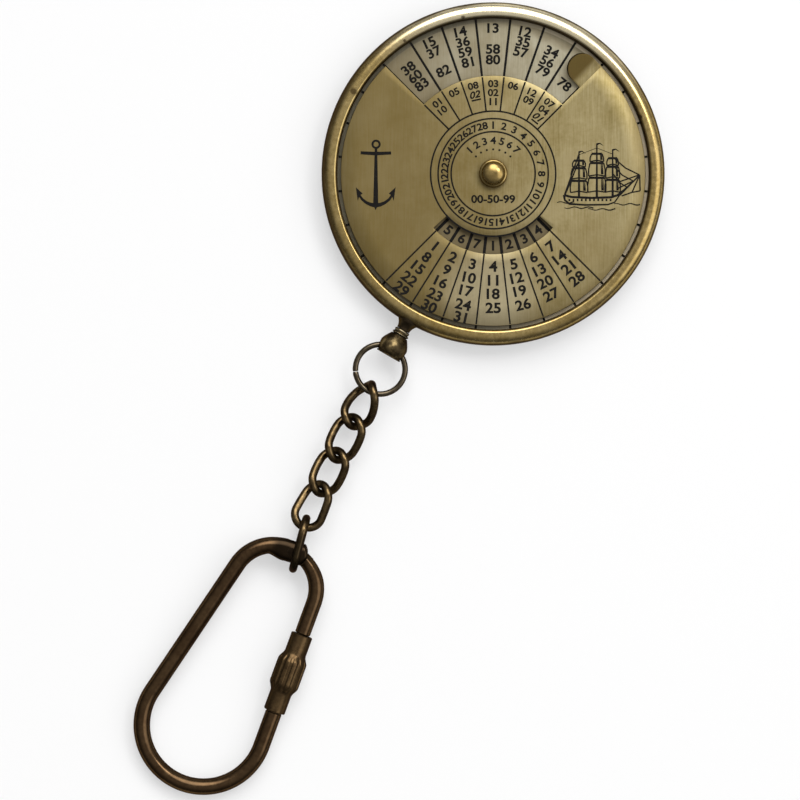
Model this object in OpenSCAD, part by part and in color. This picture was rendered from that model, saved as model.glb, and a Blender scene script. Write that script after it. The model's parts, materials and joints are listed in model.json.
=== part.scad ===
// Perpetual calendar keyring: a finger-turned dial in a round rimmed case, a bell swivel,
// a curb chain and a hinged shackle with a screw-lock sleeve. Millimetres, lying on its back.
// The case's back face is centred on the origin, the dial faces +Z and the chain runs along -Y.

/* [Case] */
// Outside diameter of the rim
case_d = 50; // [46:0.5:60]
// Width of the rim ring
rim_w = 2.2; // [1.8:0.1:3]
// Rounding of the rim's outer shoulder
rim_round = 1.5; // [0.5:0.1:1.7]
// Height of the rim above the dial
rim_stand = 1; // [0.6:0.1:1.4]
// Thickness of the back disc
back_t = 1.6; // [1.2:0.1:2]
// How far the back disc reaches under the rim
back_lip = 1; // [0.5:0.1:1.2]

/* [Dial] */
// Thickness of the fixed year plate
year_plate_t = 1; // [0.8:0.1:1.4]
// Thickness of the turning dial
dial_t = 0.8; // [0.6:0.1:1.2]
// Gap between the dial's edge and the rim
dial_gap = 0.6; // [0.4:0.1:1]
// Inner radius of the year window
year_window_r = 14.3; // [12.5:0.1:16]
// Angle of the year window
year_window_a = 90; // [70:1:110]
// Inner radius of the day window
day_window_in = 9.1; // [8:0.1:10]
// Outer radius of the day window
day_window_out = 11.7; // [11:0.1:12.4]
// Angle of the day window
day_window_a = 95; // [80:1:110]
// Turn of the dial's top from +Y
dial_turn = 30; // [0:1:359]
// Width of the finger tab
tab_w = 4.4; // [3:0.1:5]
// Reach of the finger tab over the year window
tab_reach = 3.9; // [3:0.1:5]
// Thickness of the finger tab
tab_t = 0.7; // [0.5:0.05:0.75]
// Angle at which the finger tab is bent up
tab_lift = 20; // [8:1:30]

/* [Pivot] */
// Diameter of the rivet's shank
rivet_d = 1.8; // [1.2:0.1:2.2]
// Diameter of the rivet's countersunk head
rivet_head_d = 3.6; // [3:0.1:4.5]
// Depth of the rivet's head
rivet_head_t = 0.6; // [0.4:0.1:0.9]
// Diameter of the thrust washer under the dial
thrust_d = 6; // [4:0.1:8]
// Thickness of the thrust washer
thrust_t = 0.2; // [0.15:0.05:0.4]
// Diameter of the spring washer over the dial
spring_d = 3.6; // [3:0.1:4]
// Thickness of the spring washer
spring_t = 0.25; // [0.15:0.05:0.4]
// Diameter of the domed knob
knob_d = 4.1; // [3.4:0.1:6]
// Height of the domed knob
knob_h = 1.8; // [1.5:0.1:2.6]
// Height of the knob's dome
knob_dome = 0.9; // [0.5:0.05:1.2]

/* [Swivel] */
// Length of the stud's neck outside the rim
neck_len = 1.2; // [0.8:0.1:2.5]
// Diameter of the neck where it meets the rim
neck_d = 3; // [2.6:0.1:3.6]
// Diameter of the stud's tenon in the rim
tenon_d = 1.8; // [1.2:0.1:2]
// Diameter of the stud's stem
stem_d = 1.2; // [0.9:0.1:1.3]
// Diameter of the stud's head inside the bell
stud_head_d = 1.9; // [1.6:0.1:2.1]
// Thickness of the stud's head
stud_head_t = 0.6; // [0.4:0.1:0.8]
// Height of the bell
bell_h = 4.3; // [4.2:0.1:6]
// Diameter of the bell's collar
bell_top_d = 2.3; // [2:0.1:2.6]
// Diameter of the bell's mouth
bell_d = 3.8; // [3.7:0.1:4.6]
// Diameter of the bell at its widest
bell_bulge_d = 4.4; // [4.2:0.02:4.6]
// Wall below the bell's cross hole
bell_lip = 0.24; // [0.2:0.02:0.6]

/* [Chain] */
// Diameter of the jump ring at the middle of its wire
ring_d = 7.24; // [6.6:0.02:10]
// Diameter of the jump ring's wire
ring_wire = 0.84; // [0.7:0.02:0.9]
// Width of the jump ring's open butt, in degrees
ring_butt = 1; // [1:1:10]
// Diameter of the chain's wire
link_wire = 1.2; // [0.8:0.05:1.25]
// Length of a curb link at the middle of its wire
link_len = 6.73; // [6.4:0.01:9]
// Width of a curb link at the middle of its wire
link_w = 4; // [3.6:0.05:4.2]
// Play between two linked wires
link_play = 0.09; // [0.05:0.01:0.3]
// Turn of the chain from -Y
chain_turn = 4.1; // [0:0.1:10]
// Length of the end link at the middle of its wire
end_len = 7.6; // [7.1:0.1:10]
// Clear width inside the end link
end_clear = 3; // [2.9:0.1:4.5]
// Turn of the end link from -Y
end_turn = 15; // [5:1:25]

/* [Shackle] */
// Diameter of the shackle's body wire
body_wire = 2.45; // [2:0.05:2.5]
// Diameter of the gate's wire
gate_wire = 2.35; // [1.8:0.05:2.4]
// Bend radius at the hinged end
bend_top = 6.3; // [5.8:0.1:8]
// Bend radius at the far end
bend_low = 9; // [7.5:0.1:12]
// Distance between the two bends' centres
bend_gap = 22.5; // [22:0.5:40]
// Turn of the shackle from -Y
shackle_turn = 3; // [-10:1:10]
// Width of the hinge fork
fork_w = 3.3; // [3:0.1:3.6]
// Thickness of the hinge fork
fork_t = 2.5; // [2.2:0.05:2.7]
// Reach of the fork past the pin
fork_reach = 2.35; // [2.2:0.05:2.6]
// Width of the slot in the fork
slot_w = 1.1; // [0.8:0.05:1.3]
// Diameter of the hinge pin
pin_d = 1.2; // [0.9:0.05:1.4]
// Length of the lock sleeve
sleeve_len = 11.9; // [10:0.1:12.5]
// Diameter of the sleeve's ends
sleeve_d = 3.2; // [3.1:0.05:3.8]
// Diameter of the sleeve's fluted barrel
barrel_d = 4.4; // [4:0.1:5.2]
// Length of the sleeve's fluted barrel
barrel_len = 3.3; // [2:0.1:5]
// Number of flutes round the barrel
flutes = 12; // [8:1:16]
// Height of the sleeve's lower end above the far bend
sleeve_low = 5.5; // [4:0.1:6]

/* [Hidden] */

$fn = 72;
// Radial room of a turning fit, and the float of a turning face
run_clear = 0.05;
face_clear = 0.02;
// How far a cut runs past the face it opens
cut_past = 1;
// Small edge breaks
edge_break = 0.25;
foot_break = 0.3;

// Radii of the case and the heights of its stack
case_r = case_d/2;
rim_in = case_r - rim_w;
back_r = rim_in + back_lip;
plate_clear = 0.1;
back_fit = 0.01;
plate_z = back_t;
thrust_z = plate_z + year_plate_t;
dial_z = thrust_z + thrust_t + face_clear;
dial_top = dial_z + dial_t;
spring_z = dial_top + face_clear;
knob_z = spring_z + spring_t;
knob_socket = 0.9;
rim_h = dial_top + rim_stand;
dial_r = rim_in - dial_gap;
rivet_r = rivet_d/2;

// The chain lies level, high enough for the upright end link to clear the table
table_clear = 0.05;
end_b = (end_clear + link_wire)/2;
chain_z = end_b + link_wire/2 + table_clear;

// Swivel places, as distances from the case's axis
swivel_gap = 0.1;
neck_end = case_r + neck_len;
bell_top = neck_end + swivel_gap;
bell_low = bell_top + bell_h;
stem_r = stem_d/2;
stud_head_r = stud_head_d/2;
bell_r = bell_d/2;
bell_top_r = bell_top_d/2;
bulge_r = bell_bulge_d/2;
cavity_room = 0.15;
cavity_r = stud_head_r + cavity_room;
tenon_wall = 0.2;
tenon_len = rim_w - back_lip - tenon_wall;
tenon_fit = 0.01;
neck_sunk = 0.1;
neck_shoulder = 0.4;
neck_top_r = stem_r + neck_shoulder;
// Turned details of the bell: beads at its collar, a dome that tucks in again and a plain lip
bead = 0.14;
bead_step = 0.1;
collar_h = 0.95;
bulge_share = 0.7;
lip_h = 0.25;
lip_step = 0.08;
lip_slope = 0.05;

// The ring's arc through the bell's skirt sets the size of the cross hole
ring_r = ring_d/2;
ring_wire_r = ring_wire/2;
skirt_drop_in = ring_r - sqrt(ring_r*ring_r - cavity_r*cavity_r);
skirt_drop_out = ring_r - sqrt(ring_r*ring_r - bell_r*bell_r);
skirt_mid = (skirt_drop_in + skirt_drop_out)/2;
ring_room = 0.07;
hole_r = (skirt_drop_out - skirt_drop_in)/2 + ring_wire_r/cos(asin(bell_r/ring_r)) + ring_room;
hole_at = bell_low - bell_lip - hole_r;
head_room = 0.1;
stud_head_low = hole_at - skirt_mid - ring_wire_r - head_room;
cavity_top = stud_head_low - stud_head_t - swivel_gap;
ring_at = hole_at - skirt_mid + ring_r;
ring_butt_a = 215;

// Chain places: the links follow one line, and the end link turns off from it
link_r = link_wire/2;
link_a = link_len/2;
link_b = link_w/2;
chain_dir = [-sin(chain_turn), cos(chain_turn)];
end_dir = [-sin(end_turn), cos(end_turn)];
chain_start = [0, -ring_at - ring_r + ring_wire_r + link_r + link_play];
link_pitch = link_len - link_wire - link_play;
function link_centre(i) = chain_start - chain_dir*(link_a + link_pitch*i);
chain_end = link_centre(3) - chain_dir*link_a;
end_a = end_len/2;
end_centre = chain_end + chain_dir*(link_wire + link_play) - end_dir*end_a;
seat = end_centre - end_dir*end_a;
// Roll of each curb link's lower and upper end about the chain
link_roll = [[-45, 80], [-45, 45], [-45, 45], [-10, 45]];
link_rings = 44;
link_sides = 10;

// Shackle frame: the hinged bend's centre is its origin and the far bend lies along -Y
body_r = body_wire/2;
gate_r = gate_wire/2;
// The straight wires are drawn a little thinner than the bends and run a little way into them
draw_step = 0.03;
wire_root = 0.2;
body_run_r = body_r - draw_step;
gate_run_r = gate_r - draw_step;
loop_tau = asin((bend_low - bend_top)/bend_gap);
loop_run = bend_gap*cos(loop_tau);
low_right = [bend_low*cos(loop_tau), bend_low*sin(loop_tau) - bend_gap];
low_left = [-low_right[0], low_right[1]];
pin_r = pin_d/2;
pin_inset = 0.3;
pin_at = [0, bend_top - pin_inset];
fork_turn = 10;
fork_root = -2.9;
fork_root_a = 118;
fork_root_proud = 0.03;
fork_cheek = -0.4;
fork_half = fork_w/2;
// The fork's edges are rounded up to a narrow flat, so that the end link's bend goes round them
fork_flat = 0.25;
fork_edge = fork_t/2 - fork_flat;
tang_t = slot_w - 2*run_clear;
tang_inset = 0.15;
tang_r = fork_half - tang_inset;
slot_room = 0.2;
slot_r = tang_r + slot_room;
tang_reach = 0.95;
tang_end = fork_reach + tang_reach;
tang_side = [-1.7, 0.3];
shoulder_gap = 0.1;
shoulder_r = fork_reach + shoulder_gap;
gate_start_a = 74;
// The end link's lower bend sits against the fork's inner edge, past the pin
seat_gap = 0.1;
seat_fork = [0.9, -fork_half - link_r - seat_gap];
seat_s = pin_at + [seat_fork[0]*cos(fork_turn) - seat_fork[1]*sin(fork_turn),
    seat_fork[0]*sin(fork_turn) + seat_fork[1]*cos(fork_turn)];
seat_room = 0.12;
// Places along the right-hand run, from the far bend
sleeve_top = sleeve_low + sleeve_len;
end_gap = 0.15;
spigot_low = sleeve_low - end_gap;
spigot_short = 0.2;
spigot_top = sleeve_top - spigot_short;
spigot_root = 1;
gate_tip = sleeve_top + end_gap;
sleeve_clear = 0.06;
sleeve_bore = gate_run_r + sleeve_clear;
barrel_low = (sleeve_len - barrel_len)/2;
barrel_slope = 1.2;
flute_r = 0.3;
// The shackle slopes down from its seat until its far bend or the sleeve's barrel comes to the table
bend_reach = seat_s[1] + bend_gap + bend_low;
barrel_reach = seat_s[1] - low_right[1] - (sleeve_low + barrel_low)*cos(loop_tau);
bend_slope = (chain_z - body_r - table_clear)/bend_reach;
sleeve_slope = (chain_z - barrel_d/2 - table_clear)/barrel_reach;
shackle_pitch = asin(min(bend_slope, sleeve_slope));

// Points along an arc about a centre
function arc(centre, r, a0, a1, n) =
    [for (i = [0:n]) let (a = a0 + (a1 - a0)*i/n) centre + r*[cos(a), sin(a)]];

// Point at a share of the way round a straight-sided oval, long way along its first axis
function oval_at(share, a, b) =
    let (s = a - b, half_turn = PI*b, q = share*(2*half_turn + 4*s))
    q < half_turn/2 ? arc([s, 0], b, 0, q/b*180/PI, 1)[1] :
    q < half_turn/2 + 2*s ? [s - (q - half_turn/2), b] :
    q < 1.5*half_turn + 2*s ? arc([-s, 0], b, 0, 90 + (q - half_turn/2 - 2*s)/b*180/PI, 1)[1] :
    q < 1.5*half_turn + 4*s ? [q - 1.5*half_turn - 3*s, -b] :
    arc([s, 0], b, 0, 270 + (q - 1.5*half_turn - 4*s)/b*180/PI, 1)[1];

// Roll of a curb link at a point of its oval, and that point in the link's frame
function roll_at(p, roll) = roll[0] + (roll[1] - roll[0])*(p[0]/link_a + 1)/2;
function curb_point(share, roll) =
    let (p = oval_at(share, link_a, link_b), t = roll_at(p, roll))
    [p[1]*cos(t), p[0], p[1]*sin(t)];
function unit(v) = v/norm(v);

// One ring of points round a curb link's wire
function curb_ring(share, roll) =
    let (step = 0.002,
        p = curb_point(share, roll),
        t = roll_at(oval_at(share, link_a, link_b), roll),
        along = unit(curb_point((share + step) % 1, roll) - curb_point((share + 1 - step) % 1, roll)),
        face = [-sin(t), 0, cos(t)],
        up = unit(face - (face*along)*along),
        side = cross(along, up))
    [for (k = [0:link_sides - 1]) let (a = 360*k/link_sides) p + link_r*(cos(a)*side + sin(a)*up)];

// A wedge from the axis, wide enough to cut any disc here
module wedge(a0, a1) {
    reach = 2*case_r;
    polygon(concat([[0, 0]], arc([0, 0], reach, a0, a1, 6)));
}

// Lays children along the swivel's axis: their +Z runs out along -Y
module on_swivel_axis() {
    translate([0, 0, chain_z]) rotate([90, 0, 0]) children();
}

// Places children in the shackle's frame
module in_shackle() {
    translate([seat[0], seat[1], chain_z])
        rotate([0, 0, shackle_turn])
            rotate([shackle_pitch, 0, 0])
                translate([-seat_s[0], -seat_s[1], 0])
                    children();
}

// Places children at the hinge pin, with +X along the fork
module in_fork() {
    translate([pin_at[0], pin_at[1], 0]) rotate([0, 0, fork_turn]) children();
}

// Lays children along the shackle's right-hand run: their +Z climbs from the far bend
module on_run() {
    translate([low_right[0], low_right[1], 0]) rotate([-90, 0, loop_tau]) children();
}

// Part of a bent wire about the frame's axis
module wire_bend(r, wire_r, a0, a1) {
    rotate([0, 0, a0]) rotate_extrude(angle = a1 - a0) translate([r, 0]) circle(r = wire_r);
}

module rim_blank() {
    shoulder = arc([case_r - rim_round, rim_h - rim_round], rim_round, 0, 90, 8);
    outline = concat(
        [[back_r, 0], [case_r - foot_break, 0], [case_r, foot_break]],
        shoulder,
        [[rim_in + edge_break, rim_h], [rim_in, rim_h - edge_break], [rim_in, back_t], [back_r, back_t]]);
    rotate_extrude() polygon(outline);
}

module case_back() {
    color("darkgoldenrod") difference() {
        cylinder(r = back_r - back_fit, h = back_t);
        pivot_rivet_shape();
    }
}

// The rim with the hole that takes the stud's tenon
module rim_drilled() {
    difference() {
        rim_blank();
        on_swivel_axis() translate([0, 0, case_r - tenon_len])
            cylinder(r = tenon_d/2 + tenon_fit, h = tenon_len + cut_past);
    }
}

module rim_ring() {
    color("goldenrod") rim_drilled();
}

module year_plate() {
    color("darkkhaki") translate([0, 0, plate_z]) difference() {
        cylinder(r = rim_in - plate_clear, h = year_plate_t);
        translate([0, 0, -cut_past]) cylinder(r = rivet_r, h = year_plate_t + 2*cut_past);
    }
}

module thrust_washer() {
    color("khaki") translate([0, 0, thrust_z]) difference() {
        cylinder(d = thrust_d, h = thrust_t);
        translate([0, 0, -cut_past]) cylinder(r = rivet_r, h = thrust_t + 2*cut_past);
    }
}

// Half-round tongue at the clockwise end of the year window, bent up about its root
module finger_tab() {
    root_a = 90 - year_window_a/2;
    tab_at = dial_r - tab_w/2;
    flat = tab_reach - tab_w/2;
    sunk = 0.2;
    rotate([0, 0, root_a]) translate([tab_at, 0, dial_z + dial_t/2]) rotate([tab_lift, 0, 0])
        translate([0, 0, -tab_t/2]) linear_extrude(tab_t) {
            polygon(concat([[tab_w/2, -sunk]], arc([0, flat], tab_w/2, 0, 180, 16), [[-tab_w/2, -sunk]]));
        }
}

module dial_plate() {
    year_a0 = 90 - year_window_a/2;
    day_a0 = 270 - day_window_a/2;
    color("peru") rotate([0, 0, dial_turn]) {
        union() {
            translate([0, 0, dial_z]) linear_extrude(dial_t) difference() {
                circle(r = dial_r);
                circle(r = rivet_r + run_clear);
                difference() {
                    wedge(year_a0, year_a0 + year_window_a);
                    circle(r = year_window_r);
                }
                intersection() {
                    difference() {
                        circle(r = day_window_out);
                        circle(r = day_window_in);
                    }
                    wedge(day_a0, day_a0 + day_window_a);
                }
            }
            finger_tab();
        }
    }
}

module spring_washer() {
    color("khaki") translate([0, 0, spring_z]) difference() {
        cylinder(d = spring_d, h = spring_t);
        translate([0, 0, -cut_past]) cylinder(r = rivet_r, h = spring_t + 2*cut_past);
    }
}

module pivot_rivet_shape() {
    head_r = rivet_head_d/2;
    rotate_extrude() polygon([[0, 0], [head_r, 0], [rivet_r, rivet_head_t],
        [rivet_r, knob_z + knob_socket], [0, knob_z + knob_socket]]);
}

module pivot_rivet() {
    color("gold") pivot_rivet_shape();
}

module pivot_knob() {
    knob_r = knob_d/2;
    // Radius of a dome that rises knob_dome over the knob's radius
    dome_r = (knob_r*knob_r + knob_dome*knob_dome)/(2*knob_dome);
    dome_a = asin(knob_r/dome_r);
    side = knob_h - knob_dome;
    crown = arc([0, knob_h - dome_r], dome_r, 90 - dome_a, 90, 10);
    color("gold") translate([0, 0, knob_z]) difference() {
        rotate_extrude() polygon(concat([[0, 0], [knob_r, 0], [knob_r, side]], crown));
        translate([0, 0, -cut_past]) cylinder(r = rivet_r, h = cut_past + knob_socket);
    }
}

module rim_stud() {
    neck_r = neck_d/2;
    // The neck starts inside the rim's rounded shoulder and is cut to its shape
    neck_root = case_r - tenon_len + neck_sunk;
    flare = [for (i = [0:8]) let (t = i/8)
        [neck_top_r + (neck_r - neck_top_r)*pow(1 - t, 2), case_r + neck_len*t]];
    root = case_r - tenon_len;
    head_top = stud_head_low - stud_head_t;
    outline = concat(
        [[0, root], [tenon_d/2, root], [tenon_d/2, neck_root], [neck_r, neck_root]],
        flare,
        [[stem_r, neck_end], [stem_r, head_top], [stud_head_r, head_top],
            [stud_head_r, stud_head_low], [0, stud_head_low]]);
    color("saddlebrown") difference() {
        on_swivel_axis() rotate_extrude() polygon(outline);
        rim_drilled();
    }
}

module swivel_bell() {
    waist_r = bell_top_r - bead_step;
    dome_top = bell_top + collar_h;
    mouth = bell_low - lip_h;
    mouth_r = bell_r - lip_step;
    dome_h = (mouth - dome_top)*bulge_share;
    tuck_h = mouth - dome_top - dome_h;
    dome = [for (i = [0:6]) let (t = i/6)
        [waist_r + (bulge_r - waist_r)*sin(90*t), dome_top + dome_h*t]];
    tuck = [for (i = [1:4]) let (t = i/4)
        [bulge_r - (bulge_r - mouth_r)*t*t, dome_top + dome_h + tuck_h*t]];
    hole = stem_r + run_clear;
    outline = concat(
        [[hole, bell_top], [waist_r, bell_top],
            [bell_top_r, bell_top + bead], [bell_top_r, bell_top + 2*bead],
            [waist_r, bell_top + 3*bead], [waist_r, bell_top + 4*bead],
            [bell_top_r + bead, bell_top + 5*bead], [bell_top_r + bead, bell_top + 6*bead]],
        dome, tuck,
        [[bell_r, mouth + lip_slope], [bell_r, bell_low], [cavity_r, bell_low],
            [cavity_r, cavity_top], [hole, cavity_top]]);
    color("peru") on_swivel_axis() difference() {
        rotate_extrude() polygon(outline);
        translate([-case_r, 0, hole_at]) rotate([0, 90, 0]) cylinder(r = hole_r, h = 2*case_r);
    }
}

module jump_ring() {
    color("darkgoldenrod") translate([0, -ring_at, chain_z])
        wire_bend(ring_r, ring_wire_r, ring_butt_a + ring_butt/2, ring_butt_a + 360 - ring_butt/2);
}

// Twisted oval link: its wire is swept round an oval whose two ends are rolled apart
module chain_link(i) {
    points = [for (k = [0:link_rings - 1]) each curb_ring(k/link_rings, link_roll[i])];
    faces = [for (k = [0:link_rings - 1], s = [0:link_sides - 1])
        let (k2 = (k + 1) % link_rings, s2 = (s + 1) % link_sides,
            p00 = k*link_sides + s, p01 = k*link_sides + s2,
            p10 = k2*link_sides + s, p11 = k2*link_sides + s2)
        each [[p00, p10, p11], [p00, p11, p01]]];
    color("sienna") translate([link_centre(i)[0], link_centre(i)[1], chain_z])
        rotate([0, 0, chain_turn])
            polyhedron(points, faces);
}

// Plain oval link standing on edge, round the shackle's fork
module end_link() {
    run = end_a - end_b;
    color("sienna") translate([end_centre[0], end_centre[1], chain_z]) rotate([0, 0, end_turn])
        rotate([0, 90, 0]) union() {
            for (s = [0, 180])
                rotate([0, 0, s]) translate([0, run, 0]) wire_bend(end_b, link_r, 0, 180);
            for (s = [-end_b, end_b])
                translate([s, -run, 0]) rotate([-90, 0, 0]) cylinder(r = link_r, h = 2*run);
        }
}

module fork_outline() {
    root_r = body_r + fork_root_proud;
    end_a0 = asin(fork_half/fork_reach);
    polygon(concat(
        arc([fork_root, 0], root_r, 90, 270, 8),
        [[fork_cheek, -fork_half]],
        arc([0, 0], fork_reach, -end_a0, end_a0, 8),
        [[fork_cheek, fork_half]]));
}

// Bar with rounded edges along the fork
module fork_bar() {
    side = fork_half - fork_edge;
    section = concat(
        arc([side, fork_flat], fork_edge, 0, 90, 6), arc([-side, fork_flat], fork_edge, 90, 180, 6),
        arc([-side, -fork_flat], fork_edge, 180, 270, 6), arc([side, -fork_flat], fork_edge, 270, 360, 6));
    start = fork_root - body_wire;
    length = fork_reach + body_wire - start;
    translate([start, 0, 0]) rotate([90, 0, 90]) linear_extrude(length) polygon(section);
}

module shackle_body() {
    color("saddlebrown") in_shackle() difference() {
        union() {
            wire_bend(bend_top, body_r, fork_root_a, 180 - loop_tau);
            translate([low_left[0], low_left[1], 0]) rotate([-90, 0, -loop_tau])
                translate([0, 0, -wire_root]) cylinder(r = body_run_r, h = loop_run + 2*wire_root);
            translate([0, -bend_gap, 0]) wire_bend(bend_low, body_r, 180 - loop_tau, 360 + loop_tau);
            on_run() translate([0, 0, -wire_root]) cylinder(r = body_run_r, h = spigot_low + wire_root);
            on_run() translate([0, 0, spigot_low - spigot_root])
                cylinder(r = gate_run_r, h = spigot_top - spigot_low + spigot_root);
            in_fork() intersection() {
                translate([0, 0, -fork_t/2]) linear_extrude(fork_t) fork_outline();
                fork_bar();
            }
        }
        in_fork() {
            translate([0, 0, -slot_w/2]) cylinder(r = slot_r, h = slot_w);
            translate([0, -2*fork_half, -slot_w/2]) cube([2*fork_reach, 4*fork_half, slot_w]);
            translate([0, 0, -fork_t]) cylinder(r = pin_r, h = 2*fork_t);
        }
    }
}

module hinge_pin() {
    color("darkgoldenrod") in_shackle() in_fork()
        translate([0, 0, -fork_t/2]) cylinder(r = pin_r, h = fork_t);
}

module shackle_gate() {
    color("saddlebrown") in_shackle() difference() {
        union() {
            difference() {
                union() {
                    wire_bend(bend_top, gate_r, loop_tau, gate_start_a);
                    on_run() translate([0, 0, gate_tip])
                        cylinder(r = gate_run_r, h = loop_run - gate_tip + wire_root);
                }
                in_fork() translate([0, 0, -fork_t]) cylinder(r = shoulder_r, h = 2*fork_t);
            }
            in_fork() translate([0, 0, -tang_t/2]) linear_extrude(tang_t)
                polygon(concat(arc([0, 0], tang_r, 70, 250, 12),
                    [[tang_end, tang_side[0]], [tang_end, tang_side[1]]]));
        }
        in_fork() {
            translate([0, 0, -fork_t]) cylinder(r = pin_r + run_clear, h = 2*fork_t);
            translate([seat_fork[0], seat_fork[1], -fork_t]) cylinder(r = link_r + seat_room, h = 2*fork_t);
        }
    }
}

module lock_sleeve() {
    sleeve_r = sleeve_d/2;
    barrel_r = barrel_d/2;
    barrel_top = barrel_low + barrel_len;
    outline = [
        [sleeve_bore, 0], [sleeve_r, 0], [sleeve_r, barrel_low - barrel_slope],
        [barrel_r, barrel_low], [barrel_r, barrel_top], [sleeve_r, barrel_top + barrel_slope],
        [sleeve_r, sleeve_len], [sleeve_bore, sleeve_len]];
    color("peru") in_shackle() on_run() translate([0, 0, sleeve_low]) difference() {
        rotate_extrude() polygon(outline);
        for (i = [0:flutes - 1])
            rotate([0, 0, 360*i/flutes]) translate([barrel_r + flute_r/3, 0, barrel_low - barrel_slope/2])
                cylinder(r = flute_r, h = barrel_len + barrel_slope);
    }
}

case_back();
rim_ring();
year_plate();
thrust_washer();
dial_plate();
spring_washer();
pivot_rivet();
pivot_knob();
rim_stud();
swivel_bell();
jump_ring();
chain_link(0);  // chain_link_1
chain_link(1);  // chain_link_2
chain_link(2);  // chain_link_3
chain_link(3);  // chain_link_4
end_link();
shackle_body();
hinge_pin();
shackle_gate();
lock_sleeve();
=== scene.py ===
"""Antique brass perpetual calendar keyring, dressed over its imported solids.

Every mesh is drawn in millimetres in the part's own frame: the case's back face is centred on the
origin, the dial faces +Z and the chain runs along -Y. A piece is scaled to metres when it is finished.
"""

import json
import logging
import math
from collections.abc import Iterable, Sequence
from dataclasses import dataclass
from enum import Enum
from functools import lru_cache, reduce

import bmesh
import bpy
from mathutils import Matrix, Vector


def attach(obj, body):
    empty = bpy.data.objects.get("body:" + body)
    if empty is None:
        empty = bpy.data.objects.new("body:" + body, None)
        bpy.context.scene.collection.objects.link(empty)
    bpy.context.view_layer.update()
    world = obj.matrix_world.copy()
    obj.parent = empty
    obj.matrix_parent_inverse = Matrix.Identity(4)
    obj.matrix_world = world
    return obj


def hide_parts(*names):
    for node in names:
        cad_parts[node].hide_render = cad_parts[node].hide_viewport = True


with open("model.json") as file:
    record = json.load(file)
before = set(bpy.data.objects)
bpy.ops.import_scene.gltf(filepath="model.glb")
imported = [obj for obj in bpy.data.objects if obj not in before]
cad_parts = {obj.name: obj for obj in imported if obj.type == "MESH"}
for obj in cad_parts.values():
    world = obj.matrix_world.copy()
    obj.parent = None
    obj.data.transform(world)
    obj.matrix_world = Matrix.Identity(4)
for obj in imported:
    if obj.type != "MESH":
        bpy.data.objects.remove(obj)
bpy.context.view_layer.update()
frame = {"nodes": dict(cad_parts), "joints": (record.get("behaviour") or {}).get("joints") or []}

MM = 0.001
WELD = 1e-4
SLIVER = 0.01
COLUMNS = 28
COLUMN_STEP = 360.0 / COLUMNS
WEEK = 7
DIAL_TURN = 30.0
# Near-black colour of the painted shade.
PAINTED_SHADE_BLACK = (0.012, 0.009, 0.006)
WHITE = (1.0, 1.0, 1.0, 1.0)
NUMERAL_WIDTH = 1.12
NUMERAL_WEIGHT = 0.031
NUMERAL_STEPS = 4

UP = Vector((0.0, 0.0, 1.0))

Colour = tuple[float, float, float]
Triple = tuple[float, float, float]
Point = tuple[float, float]
log = logging.getLogger("keyring")


class Socket:
    """One value in a node tree; arithmetic on it adds Math nodes."""

    def __init__(self, graph: "Graph", link: bpy.types.NodeSocket) -> None:
        """Wraps an output of a graph's tree."""
        self.graph = graph
        self.link = link

    def __add__(self, other: "Socket | float") -> "Socket":
        """Sum of two values."""
        return self.graph.maths("ADD", self, other)

    def __radd__(self, other: float) -> "Socket":
        """Sum with a plain number on the left."""
        return self.graph.maths("ADD", other, self)

    def __sub__(self, other: "Socket | float") -> "Socket":
        """Difference of two values."""
        return self.graph.maths("SUBTRACT", self, other)

    def __rsub__(self, other: float) -> "Socket":
        """Difference from a plain number."""
        return self.graph.maths("SUBTRACT", other, self)

    def __mul__(self, other: "Socket | float") -> "Socket":
        """Product of two values."""
        return self.graph.maths("MULTIPLY", self, other)

    def __rmul__(self, other: float) -> "Socket":
        """Product with a plain number on the left."""
        return self.graph.maths("MULTIPLY", other, self)


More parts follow.
